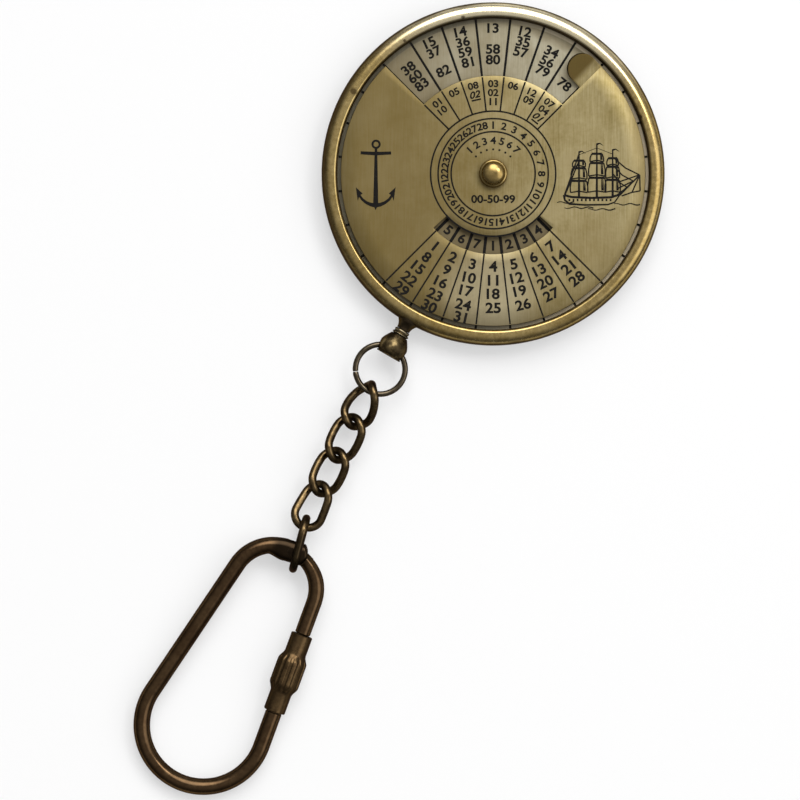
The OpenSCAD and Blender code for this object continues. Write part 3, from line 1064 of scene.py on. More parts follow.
    def finish(self, name: str, finish: "BrassFinish | InkFinish", seat: Seat, sharp: float = 35.0) -> None:
        """Makes the finished object, in metres and riding on its body.

        Args:
            name: The piece's name.
            finish: Its finish.
            seat: Where it belongs.
            sharp: Angle in degrees past which an edge stays sharp.
        """
        self.place(Matrix.Scale(MM, 4))
        made = self.loose(name)
        self.bm.free()
        mesh = made.data
        mesh.shade_smooth()
        mesh.set_sharp_from_angle(angle=math.radians(sharp))
        mesh.materials.append(dressed(finish))
        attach(made, seat.body)
        if seat.stands_for:
            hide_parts(*seat.stands_for)
        log.info("%s: %d faces on %s", name, len(mesh.polygons), seat.body)


def coat(node: str, finish: BrassFinish) -> None:
    """Gives a carried-over solid its finish.

    Args:
        node: The solid's name.
        finish: Its finish.
    """
    mesh = frame["nodes"][node].data
    mesh.materials.clear()
    mesh.materials.append(dressed(finish))
    log.info("%s: solid kept, finish %s", node, finish.name)


@lru_cache(maxsize=None)
def numeral(text: str, slant: float) -> bpy.types.Mesh:
    """The shape of a number, one unit high and one thick, centred on the origin.

    Args:
        text: The number.
        slant: Lean of its figures.

    Returns:
        The closed mesh.
    """
    curve = bpy.data.curves.new("numeral", "FONT")
    curve.body = text
    curve.resolution_u = NUMERAL_STEPS
    curve.offset = NUMERAL_WEIGHT
    curve.extrude = 0.5
    curve.shear = slant
    loose = linked("numeral", curve)
    mesh = evaluated(loose)
    bpy.data.objects.remove(loose)
    bpy.data.curves.remove(curve)
    xs = [v.co.x for v in mesh.vertices]
    ys = [v.co.y for v in mesh.vertices]
    scale = 1.0 / (max(ys) - min(ys))
    middle = shift(-(max(xs) + min(xs)) / 2, -(max(ys) + min(ys)) / 2, 0.0)
    mesh.transform(Matrix.Diagonal((scale * NUMERAL_WIDTH, scale, 1.0, 1.0)) @ middle)
    return mesh


class Inlay(Stock):
    """Thin dark fillings that stand a hair proud of the plate they are let into."""

    proud = 0.012
    sunk = 0.02
    layer = 0.0002

    def __init__(self, plate_top: float) -> None:
        """Starts the fillings of a plate.

        Args:
            plate_top: Height of the plate's face.
        """
        super().__init__()
        self.low = plate_top - self.sunk
        self.high = plate_top + self.proud

    @property
    def depth(self) -> float:
        """Thickness of the next filling."""
        return self.high - self.low

    def bed(self, x: float, y: float) -> Matrix:
        """Place halfway down the next filling."""
        return shift(x, y, (self.low + self.high) / 2)

    def line(self, start: Point, end: Point, width: float) -> None:
        """Lays a straight line.

        Args:
            start: Its first end.
            end: Its other end.
            width: Its width.
        """
        run = Vector(end) - Vector(start)
        turn = Matrix.Rotation(math.atan2(run.y, run.x), 4, "Z")
        self.block((run.length, width, self.depth), self.bed(*(Vector(end) + Vector(start)) / 2) @ turn)

    def spoke(self, angle: float, inner: float, outer: float, width: float) -> None:
        """Lays a line along a radius."""
        self.line(polar(inner, angle), polar(outer, angle), width)

    def hoop_line(self, centre: Point, radius: float, width: float, steps: int = 144) -> None:
        """Lays a ring.

        Args:
            centre: The ring's centre.
            radius: Its middle radius.
            width: Its width.
            steps: Number of steps round.
        """
        ring = Stock()
        inner, outer = radius - width / 2, radius + width / 2
        ring.lathe([(inner, self.low), (outer, self.low), (outer, self.high), (inner, self.high)], steps)
        ring.place(shift(*centre, 0.0))
        self.join(ring)

    def dot(self, centre: Point, radius: float) -> None:
        """Lays a round dot."""
        self.rod(radius, self.depth, self.bed(*centre), segments=16)

    def stroke(self, path: Sequence[Point], widths: Sequence[float]) -> None:
        """Lays a drawn stroke of changing width, a hair higher than the one before.

        Args:
            path: Points along its middle.
            widths: Its width at each point, or at the start and the end.
        """
        last = len(path) - 1
        if len(widths) == 2:
            widths = [widths[0] + (widths[1] - widths[0]) * i / last for i in range(last + 1)]
        ring = [self.bm.verts.new((*path[0], self.low)) for _ in range(2)]
        self.bm.edges.new(ring)
        sheet = set(self.bm.faces)
        for number, (spot, width) in enumerate(zip(path, widths)):
            if number:
                ring = self.grow(ring)
            ahead = Vector(path[min(number + 1, last)]) - Vector(path[max(number - 1, 0)])
            side = ahead.orthogonal().normalized() * (width / 2)
            for vert, way in zip(ring, (1.0, -1.0)):
                vert.co = (spot[0] + side.x * way, spot[1] + side.y * way, self.low)
        self.thicken([f for f in self.bm.faces if f not in sheet], self.depth)
        self.high += self.layer

    def patch(self, corners: Sequence[Point]) -> None:
        """Lays a filled patch.

        Args:
            corners: Its outline.
        """
        face = self.bm.faces.new([self.bm.verts.new((*corner, self.low)) for corner in corners])
        self.thicken([face], self.depth)

    def figure(self, text: str, height: float, centre: Point, turn: float, slant: float = 0.0) -> None:
        """Lays a number.

        Args:
            text: The number.
            height: Height of its figures.
            centre: Its middle.
            turn: Turn of its upright, in degrees.
            slant: Lean of its figures.
        """
        before = set(self.bm.verts)
        self.bm.from_mesh(numeral(text, slant))
        fresh = [v for v in self.bm.verts if v not in before]
        size = Matrix.Diagonal((height, height, self.depth, 1.0))
        bmesh.ops.transform(self.bm, matrix=self.bed(*centre) @ turn_z(turn) @ size, verts=fresh)

    def set_in(self, name: str, body: str, slot: str) -> None:
        """Turns the fillings to the dial's upright and finishes them.

        Args:
            name: The piece's name.
            body: The body it rides on.
            slot: Name of a material slot, kept in its seat and not used.
        """
        self.weld()
        self.place(turn_z(DIAL_TURN))
        self.finish(name, WAX, Seat(body, slot))


@dataclass
class Case:
    """The round case: its rim, its back and the fixed plate of years and days."""

    rim_outer: float = 25.0
    rim_inner: float = 22.8
    rim_top: float = 4.62
    rim_round: float = 1.5
    inner_round: float = 0.42
    foot: float = 0.3
    steps: int = 192
    back_radius: float = 23.8
    back_top: float = 1.6
    plate_top: float = 2.6
    plate_radius: float = 22.68
    year_inner: float = 14.0
    year_rows: tuple[float, ...] = (21.29, 19.76, 18.23, 16.69, 15.16)
    year_height: float = 1.46
    top_column: int = 16
    day_middle: float = 10.45
    day_height: float = 1.45
    day_wall: Point = (8.9, 12.1)
    first_day: int = 5
    line: float = 0.34
    wall: float = 0.44

    def build(self) -> None:
        """Makes the rim and the plate's markings, and finishes the solids that stay."""
        self.make_rim()
        self.mark_years()
        self.mark_days()
        coat("case_back", BACK)
        coat("year_plate", PLATE)
        coat("thrust_washer", PIVOT)

    def make_rim(self) -> None:
        """Turns the rim with a full crown and a softened inner lip."""
        crown = (self.rim_outer - self.rim_round, self.rim_top - self.rim_round)
        lip = (self.rim_inner + self.inner_round, self.rim_top - self.inner_round)
        foot = (self.rim_outer - self.foot, self.foot)
        outline = [(self.back_radius, 0.0)]
        outline += arc(foot, self.foot, 270.0, 360.0, steps=5)
        outline += arc(crown, self.rim_round, 0.0, 90.0, steps=14)
        outline += arc(lip, self.inner_round, 90.0, 180.0, steps=8)
        outline += [(self.rim_inner, self.back_top), (self.back_radius, self.back_top)]
        rim = Stock()
        rim.lathe(outline, self.steps)
        rim.finish("rim_band", RIM, Seat("case", "rim_brass", ("rim_ring",)), sharp=40.0)

    def column_angle(self, column: int) -> float:
        """Angle of a year column's middle, seen with the dial upright."""
        return 90.0 + (column - self.top_column) * COLUMN_STEP

    def mark_years(self) -> None:
        """Lays the year columns: two figures a year, moving one column on, and two after a leap day."""
        figures = Inlay(self.plate_top)
        lines = Inlay(self.plate_top)
        for year in range(100):
            row, column = divmod(year + year // 4, COLUMNS)
            angle = self.column_angle(column)
            figures.figure(f"{year:02d}", self.year_height, polar(self.year_rows[row], angle), angle - 90.0)
        for column in range(COLUMNS):
            edge = self.column_angle(column) + COLUMN_STEP / 2
            lines.spoke(edge, self.year_inner, self.plate_radius, self.line)
        figures.set_in("year_figures", "case", "plate_brass")
        lines.set_in("year_lines", "case", "plate_brass")

    def mark_days(self) -> None:
        """Lays the ring of weekday numbers, 1 to 7 over and over, and the walls between them."""
        days = Inlay(self.plate_top)
        for cell in range(COLUMNS):
            angle = 270.0 + (cell - WEEK // 2) * COLUMN_STEP
            day = (cell + self.first_day - 1) % WEEK + 1
            days.figure(str(day), self.day_height, polar(self.day_middle, angle), angle + 90.0)
            days.spoke(angle + COLUMN_STEP / 2, *self.day_wall, self.wall)
        days.set_in("day_figures", "case", "plate_brass")


@dataclass
class TurningDial:
    """The turning dial with its two windows, its finger tab and its inlaid figures."""

    radius: float = 22.2
    low: float = 2.82
    top: float = 3.62
    year_inner: float = 14.3
    year_span: Point = (45.0, 135.0)
    day_rings: Point = (9.1, 11.7)
    day_span: Point = (222.5, 317.5)
    rings: tuple[float, ...] = (0.95, 2.6, 4.4, 6.1, 8.0, 9.1, 10.4, 11.7, 13.0, 14.3, 16.4, 19.4, 22.2)
    steps: int = 144
    edge: float = 0.13
    tab_width: float = 4.4
    tab_reach: float = 3.9
    tab_thick: float = 0.62
    tab_lift: float = 20.0
    tab_bend: float = 0.9
    tab_flat: float = 0.35
    tab_root: float = 0.25
    tab_edge: float = 0.12
    tab_sink: float = 0.02
    hub_rings: tuple[float, ...] = (6.12, 8.02, 9.11)
    hub_scale: float = 7.07
    hub_height: float = 1.1
    range_drop: float = 3.7
    range_height: float = 1.22
    arch: float = 4.85
    arch_step: float = 15.0
    dots: float = 3.55
    dot: float = 0.16
    # The leap year's first two months are the negative ones.
    month_columns: tuple[tuple[int, ...], ...] = (
        (1, 10),
        (5,),
        (8, -2),
        (3, 2, 11),
        (6,),
        (12, 9),
        (7, 4, -1),
    )
    month_rows: tuple[float, ...] = (13.12, 11.81, 10.5)
    month_height: float = 1.08
    month_end: float = 14.14
    underline_drop: float = 0.78
    underline_half: float = 3.6
    date_rows: tuple[float, ...] = (13.5, 15.53, 17.5, 19.54, 21.4)
    date_height: float = 1.58
    date_lines: Point = (11.75, 22.05)
    line: float = 0.24
    lean: float = 0.3
    anchor: float = -17.1

    def build(self) -> None:
        """Makes the plate and its markings."""
        self.make_plate()
        self.mark_hub()
        self.mark_months()
        self.mark_dates()
        self.mark_anchor()
        self.mark_ship()

    def in_window(self, face: bmesh.types.BMFace) -> bool:
        """Whether a face of the blank falls in one of the windows.

        Args:
            face: The face.

        Returns:
            True in a window.
        """
        middle = face.calc_center_median()
        ring = middle.xy.length
        angle = math.degrees(math.atan2(middle.y, middle.x)) % 360.0
        year = ring > self.year_inner and self.year_span[0] < angle < self.year_span[1]
        between = self.day_rings[0] < ring < self.day_rings[1]
        return year or (between and self.day_span[0] < angle < self.day_span[1])

    def make_plate(self) -> None:
        """Spins the blank, pierces its windows, breaks its upper edges and adds the tab."""
        plate = Stock()
        verts = [plate.bm.verts.new((ring, 0.0, self.top)) for ring in self.rings]
        plate.spin(verts, zip(verts, verts[1:]), self.steps)
        pierced = [f for f in plate.bm.faces if self.in_window(f)]
        bmesh.ops.delete(plate.bm, geom=pierced, context="FACES")
        plate.thicken(plate.bm.faces[:], self.low - self.top)
        plate.weld()
        upper = [e for e in plate.bm.edges if all(abs(v.co.z - self.top) < WELD for v in e.verts)]
        plate.soften([e for e in upper if e.calc_face_angle(0.0) > 1.0], self.edge)
        plate.join(self.make_tab())
        plate.place(turn_z(DIAL_TURN))
        plate.finish("dial_face", DIAL, Seat("dial", "dial_brass", ("dial_plate",)), sharp=30.0)

    def make_tab(self) -> Stock:
        """Bends the finger tab up from the window's edge.

        Returns:
            The tab, in the upright dial's place.
        """
        tab = Stock()
        grid = bmesh.ops.create_grid(tab.bm, x_segments=14, y_segments=22, size=0.5)["verts"]
        half = self.tab_width / 2
        flat = self.tab_reach - half
        lift = math.radians(self.tab_lift)
        for vert in grid:
            share = vert.co.y + 0.5
            reach = self.tab_reach * math.sin(share * math.pi / 2) if share > 0.0 else -self.tab_root
            past = max(0.0, reach - flat) / half
            width = half * math.sqrt(max(0.0, 1.0 - past * past))
            bend = ease(reach / self.tab_bend)
            rise = math.sin(lift) * max(0.0, reach - self.tab_bend * self.tab_flat) * bend
            vert.co = (vert.co.x * 2 * width, reach * math.cos(lift * bend), rise)
        bmesh.ops.remove_doubles(tab.bm, verts=tab.bm.verts[:], dist=10 * WELD)
        bmesh.ops.recalc_face_normals(tab.bm, faces=tab.bm.faces[:])
        if sum(f.normal.z for f in tab.bm.faces) < 0.0:
            bmesh.ops.reverse_faces(tab.bm, faces=tab.bm.faces[:])
        bmesh.ops.solidify(tab.bm, geom=tab.bm.faces[:], thickness=self.tab_thick)
        tab.weld()
        rim = [e for e in tab.bm.edges if e.is_manifold and e.calc_face_angle(0.0) > 1.0]
        tab.soften(rim, self.tab_edge, segments=3)
        top = max(v.co.z for v in tab.bm.verts if v.co.y < 0.1)
        tab.place(shift(self.radius - half, 0.0, self.top - top - self.tab_sink))
        tab.place(turn_z(self.year_span[0]))
        return tab

    def mark_hub(self) -> None:
        """Lays the hub's rings, its scale of columns and the span of years."""
        rings = Inlay(self.top)
        for radius in self.hub_rings:
            rings.hoop_line((0.0, 0.0), radius, self.line)
        rings.set_in("hub_rings", "dial", "dial_brass")
        scale = Inlay(self.top)
        for number in range(COLUMNS):
            angle = 90.0 - number * COLUMN_STEP
            scale.figure(str(number + 1), self.hub_height, polar(self.hub_scale, angle), angle - 90.0)
        scale.figure("00-50-99", self.range_height, (0.0, -self.range_drop), 0.0)
        for number in range(WEEK):
            angle = 90.0 - (number - WEEK // 2) * self.arch_step
            scale.figure(str(number + 1), self.hub_height, polar(self.arch, angle), angle - 90.0)
            scale.dot(polar(self.dots, angle), self.dot)
        scale.set_in("hub_figures", "dial", "dial_brass")

    def mark_months(self) -> None:
        """Lays the month numbers by column, with the leap year's first two months leaning."""
        months = Inlay(self.top)
        for place, column in enumerate(self.month_columns):
            angle = 90.0 + (WEEK // 2 - place) * COLUMN_STEP
            for row, month in enumerate(column):
                lean = self.lean if month < 0 else 0.0
                centre = polar(self.month_rows[row], angle)
                months.figure(f"{abs(month):02d}", self.month_height, centre, angle - 90.0, lean)
                if month < 0:
                    foot = self.month_rows[row] - self.underline_drop
                    ends = [polar(foot, angle + way * self.underline_half) for way in (1.0, -1.0)]
                    months.line(*ends, self.line)
        for place in range(WEEK + 1):
            angle = self.year_span[0] + place * COLUMN_STEP
            months.spoke(angle, self.hub_rings[2], self.month_end, self.line)
        months.set_in("month_figures", "dial", "dial_brass")

    def mark_dates(self) -> None:
        """Lays the seven columns of dates and the lines between them."""
        dates = Inlay(self.top)
        for date in range(1, 32):
            row, place = divmod(date - 1, WEEK)
            angle = 270.0 + (place - WEEK // 2) * COLUMN_STEP
            dates.figure(str(date), self.date_height, polar(self.date_rows[row], angle), angle + 90.0)
        for place in range(WEEK + 1):
            dates.spoke(270.0 + (place - WEEK / 2) * COLUMN_STEP, *self.date_lines, self.line)
        dates.set_in("date_figures", "dial", "dial_brass")

    def mark_anchor(self) -> None:
        """Lays the plain stocked anchor at the left of the dial."""
        middle = self.anchor
        anchor = Inlay(self.top)
        anchor.hoop_line((middle + 0.05, 4.28), 0.52, 0.31, steps=32)
        anchor.stroke([(middle - 2.2, 3.05), (middle, 2.92), (middle + 2.25, 3.02)], (0.44, 0.52, 0.44))
        anchor.stroke([(middle + 0.04, 3.75), (middle, -4.5), (middle - 0.02, -5.25)], (0.36, 0.75, 0.08))
        for way in (1.0, -1.0):
            arm = [(0.0, -4.62), (0.7, -4.5), (1.35, -4.22), (1.95, -3.75), (2.45, -3.05)]
            anchor.stroke([(middle + way * x, y) for x, y in arm], (0.64, 0.54, 0.44, 0.38, 0.32))
            fluke = [(2.9, -1.97), (1.88, -2.92), (2.34, -3.15), (2.62, -3.95)]
            anchor.patch([(middle + way * x, y) for x, y in fluke])
        anchor.set_in("anchor", "dial", "dial_brass")

    def mark_ship(self) -> None:
        """Lays a three-masted sailing ship at the right of the dial."""
        Ship(self.top).draw()


@dataclass
class Ship:
    """A plain three-master in fine strokes."""

    plate_top: float
    centre: Point = (15.4, -0.45)
    hair: float = 0.08
    fine: float = 0.2
    bold: float = 0.34
    ports: int = 11
    port: float = 0.26
    belly: float = 0.1
    wave: float = 0.12
    wave_steps: int = 12

    def __post_init__(self) -> None:
        """Starts the drawing's fillings."""
        self.inlay = Inlay(self.plate_top)

    def draw(self) -> None:
        """Lays the hull, the masts and their sails, the jibs and the sea."""
        self.hull()
        for mast, top, sails in self.masts():
            self.trace([(mast, -2.9), (mast, top)], self.bold, self.fine)
            pennant = [(mast, top - 0.1), (mast + 0.45, top + 0.02), (mast + 0.95, top - 0.32)]
            self.trace(pennant, 0.3, 0.05)
            for sail in sails:
                self.sail(mast, *sail)
        self.rigging()
        self.sea()
        self.inlay.set_in("sailing_ship", "dial", "dial_brass")

    def masts(self) -> tuple[tuple[float, float, tuple[tuple[float, ...], ...]], ...]:
        """The three masts and what they carry.

        Returns:
            Each mast's place, its top and its sails as top, foot and half widths.
        """
        mizzen = ((2.35, 1.45, 0.75, 0.95), (1.25, -0.35, 0.95, 1.15), (-0.6, -2.3, 1.1, 1.25))
        main = ((3.35, 2.2, 0.75, 1.0), (2.0, 0.1, 1.0, 1.2), (-0.15, -2.25, 1.15, 1.3))
        fore = ((2.7, 1.65, 0.65, 0.85), (1.45, -0.2, 0.85, 1.0), (-0.45, -2.25, 0.95, 1.1))
        return ((-2.9, 3.7, mizzen), (-0.3, 4.85, main), (2.0, 4.0, fore))

    def trace(self, path: Sequence[Point], start: float, end: float) -> None:
        """Lays one stroke of the drawing, tapering from start to end."""
        self.inlay.stroke([(self.centre[0] + x, self.centre[1] + y) for x, y in path], (start, end))

    def hull(self) -> None:
        """Draws the deck, the keel and a row of ports."""
        stern, bow = (-5.1, -2.65), (3.1, -2.55)
        self.trace([stern, (-4.0, -2.95), (-1.0, -3.08), (1.8, -2.98), bow], self.bold, self.bold)
        keel = [(-4.95, -3.4), (-4.3, -3.95), (-2.0, -4.1), (1.3, -4.05), (2.3, -3.7)]
        self.trace([stern, *keel, bow], self.bold, self.fine)
        for port in range(self.ports):
            x = -4.3 + port * 0.6
            self.trace([(x, -3.22), (x, -3.55)], self.port, self.port)

    def sail(self, mast: float, top: float, foot: float, half_top: float, half_foot: float) -> None:
        """Draws one square sail, filled by the wind.

        Args:
            mast: The mast's place.
            top: Height of the yard.
            foot: Height of the sail's foot.
            half_top: Half its width at the yard.
            half_foot: Half its width at the foot.
        """
        belly = (half_top + half_foot) / 2 + self.belly
        middle = (top + foot) / 2
        left = [(mast - half_top, top), (mast - belly, middle), (mast - half_foot, foot)]
        right = [(mast + half_top, top), (mast + belly, middle), (mast + half_foot, foot)]
        curve = [(mast - half_foot, foot), (mast, foot + 0.2), (mast + half_foot, foot)]
        self.trace([left[0], right[0]], self.bold, self.bold)
        for path in (left, right, curve):
            self.trace(path, self.fine, self.fine)
        for share in (0.3, 0.5, 0.7):
            x = mast + half_foot * (0.35 + 0.5 * share)
            self.trace([(x, top - 0.15), (x + 0.06, foot + 0.25)], self.hair, 0.14)

    def rigging(self) -> None:
        """Draws the bowsprit, three jibs and the stays."""
        tip, end = (5.94, 0.26), (6.0, -2.05)
        self.trace([(3.0, -2.65), tip], self.bold, self.fine)
        for top, tack in ((2.8, 5.9), (1.6, 5.0), (0.4, 4.1)):
            foot = tack - 5.62
            belly = ((2.1 + tack) / 2 - 0.15, (top + foot) / 2 - 0.25)
            self.trace([(2.1, top), belly, (tack, foot)], self.fine, self.fine)
            self.trace([(tack, foot), (2.7, foot - 1.1)], self.fine, self.fine)
        for path in ([tip, end], [end, (4.7, -2.3), (3.3, -2.8)], [tip, (4.85, -2.2)]):
            self.trace(path, self.fine, self.fine)
        for top, heel in ((3.3, -5.0), (2.3, -4.9)):
            self.trace([(-2.9, top), (heel, -2.6)], self.fine, self.fine)
        for path in ([(-2.9, 3.2), (-0.3, 4.2)], [(-0.3, 4.2), (2.0, 3.3)]):
            self.trace(path, self.hair, self.hair)

    def sea(self) -> None:
        """Draws the waves under the hull."""
        waves = ((-6.1, -3.6, -3.75), (-5.0, -0.8, -4.5), (-1.6, 2.4, -4.75), (2.2, 6.0, -4.0))
        for start, end, level in waves:
            xs = [start + (end - start) * i / self.wave_steps for i in range(self.wave_steps + 1)]
            self.trace([(x, level + self.wave * math.sin(x * 3.1)) for x in xs], 0.12, self.fine)


@dataclass
class Pivot:
    """The domed knob over the dial's centre, with the rivet and the washers under it."""

    low: float = 3.89
    radius: float = 2.05
    bore: float = 0.9
    socket: float = 0.9
    height: float = 1.8
    skirt: float = 0.72
    chamfer: float = 0.12
    shoulder: float = 0.3
    dome_radius: float = 1.66
    dome_steps: int = 12

    def build(self) -> None:
        """Turns the knob and finishes the pieces under it."""
        knob = Stock()
        outline = [(self.bore, 0.0), (self.radius - self.chamfer, 0.0), (self.radius, self.chamfer)]
        bend = (self.radius - self.shoulder, self.skirt)
        outline += arc(bend, self.shoulder, 0.0, 78.0, steps=7)
        foot = self.skirt + self.shoulder
        rise = self.height - foot
        for i in range(1, self.dome_steps + 1):
            lean = math.radians(90.0 * i / self.dome_steps)
            outline.append((self.dome_radius * math.cos(lean), foot + rise * math.sin(lean)))
        outline[-1] = (0.0, self.height)
        outline += [(0.0, self.socket), (self.bore, self.socket)]
        knob.lathe(self.open_profile(outline), steps=72)
        knob.place(shift(0.0, 0.0, self.low))
        knob.finish("knob_dome", PIVOT, Seat("case", "pivot_brass", ("pivot_knob",)), sharp=40.0)
        coat("spring_washer", PIVOT)
        coat("pivot_rivet", PIVOT)

    def open_profile(self, outline: list[Point]) -> list[Point]:
        """The outline turned round to run from axis to axis."""
        crown = outline.index((0.0, self.height))
        return outline[crown + 1 :] + outline[: crown + 1]


@dataclass
class Swivel:
    """The stud in the rim, the bell that turns on it and the jump ring through the bell."""

    axis_height: float = 2.75
    rim_outer: float = 25.0
    root: float = 24.15
    neck_radius: float = 1.5
    neck_top: float = 1.0
    neck_end: float = 26.27
    neck_edge: float = 0.08
    stem: float = 0.6
    head: float = 0.95
    head_span: Point = (28.138, 28.738)
    bell_span: Point = (26.3, 30.6)
    collar: float = 1.15
    waist: float = 1.05
    bead: float = 0.14
    bead_length: float = 3.0
    bead_end: float = 3.1
    bead_pitch: float = 3.4
    collar_length: float = 0.95
    mouth: float = 1.9
    bulge: float = 2.2
    bulge_share: float = 0.7
    dome_start: float = 1.27
    lip: float = 0.25
    lip_edge: float = 0.06
    tuck: float = 0.08
    stem_hole: float = 0.65
    cavity: float = 1.1
    cavity_top: float = 28.038
    cross_hole: float = 0.775
    cross_at: float = 29.613
    ring_at: float = 32.878
    ring_radius: float = 3.62
    ring_wire: float = 0.42
    ring_steps: int = 120
    butt: float = 215.0
    butt_gap: float = 1.0
    butt_taper: float = 0.86

    def build(self) -> None:
        """Makes the three pieces."""
        self.make_stud()
        self.make_bell()
        self.make_ring()

    def along_axis(self) -> Matrix:
        """Lays a piece turned about Z along the swivel's axis, outwards."""
        return shift(0.0, 0.0, self.axis_height) @ Matrix.Rotation(math.pi / 2, 4, "X")

    def make_stud(self) -> None:
        """Turns the stud: a flared neck, a stem and a head inside the bell."""
        stud = Stock()
        outline = [(0.0, self.root), (self.neck_radius, self.root)]
        length = self.neck_end - self.rim_outer
        for i in range(13):
            share = i / 12
            radius = self.neck_top + (self.neck_radius - self.neck_top) * (1.0 - share) ** 2
            outline.append((radius, self.rim_outer + (length - self.neck_edge) * share))
        outline += [(self.neck_top - self.neck_edge, self.neck_end), (self.stem, self.neck_end)]
        outline += [(self.stem, self.head_span[0]), (self.head, self.head_span[0])]
        outline += [(self.head, self.head_span[1]), (0.0, self.head_span[1])]
        stud.lathe(outline, steps=64)
        stud.place(self.along_axis())
        stud.finish("swivel_stud", NECK, Seat("case", "swivel_brass", ("rim_stud",)), sharp=40.0)

    def make_bell(self) -> None:
        """Turns the bell with its two beads and drills its cross hole."""
        top, low = self.bell_span
        outline = [(self.stem_hole, top), (self.waist, top)]
        for bead in range(2):
            start = top + bead * self.bead_pitch * self.bead
            depth = self.collar + bead * self.bead - self.waist
            for i in range(1, 8):
                swell = depth * math.sin(math.pi * i / 8)
                outline.append((self.waist + swell, start + self.bead_length * self.bead * i / 8))
            outline.append((self.waist, start + self.bead_end * self.bead))
        shoulder = top + self.collar_length
        edge = low - self.lip
        dome = (edge - shoulder) * self.bulge_share
        for i in range(13):
            swell = (self.bulge - self.dome_start) * math.sin(math.pi / 2 * i / 12)
            outline.append((self.dome_start + swell, shoulder + dome * i / 12))
        for i in range(1, 9):
            share = i / 8
            tuck = (self.bulge - self.mouth + self.tuck) * share**2
            outline.append((self.bulge - tuck, shoulder + dome + (edge - shoulder - dome) * share))
        outline += [(self.mouth, edge + self.lip_edge), (self.mouth, low - self.lip_edge)]
        outline.append((self.mouth - self.lip_edge, low))
        outline += [(self.cavity, low), (self.cavity, self.cavity_top), (self.stem_hole, self.cavity_top)]
        bell = Stock()
        bell.lathe(outline, steps=80)
        bell.place(self.along_axis())
        across = shift(0.0, -self.cross_at, self.axis_height) @ Matrix.Rotation(math.pi / 2, 4, "Y")
        bell.drill(self.cross_hole, 4 * self.mouth, across)
        bell.finish("bell", BELL, Seat("bell", "swivel_brass", ("swivel_bell",)), sharp=32.0)

    def make_ring(self) -> None:
        """Bends the jump ring, open at its butt."""
        centre = Vector((0.0, -self.ring_at, self.axis_height))
        start = self.butt + self.butt_gap / 2
        stations = []
        for i in range(self.ring_steps + 1):
            angle = start + (360.0 - self.butt_gap) * i / self.ring_steps
            out = Vector((*polar(1.0, angle), 0.0))
            along = Vector((-out.y, out.x, 0.0))
            wire = self.ring_wire * (self.butt_taper if i in (0, self.ring_steps) else 1.0)
            stations.append(Station(centre + out * self.ring_radius, along, UP, wire, wire))
        ring = Stock()
        ring.sweep(stations, sides=20)
        ring.finish("jump_ring_wire", RING, Seat("ring", "ring_brass", ("jump_ring",)), sharp=45.0)


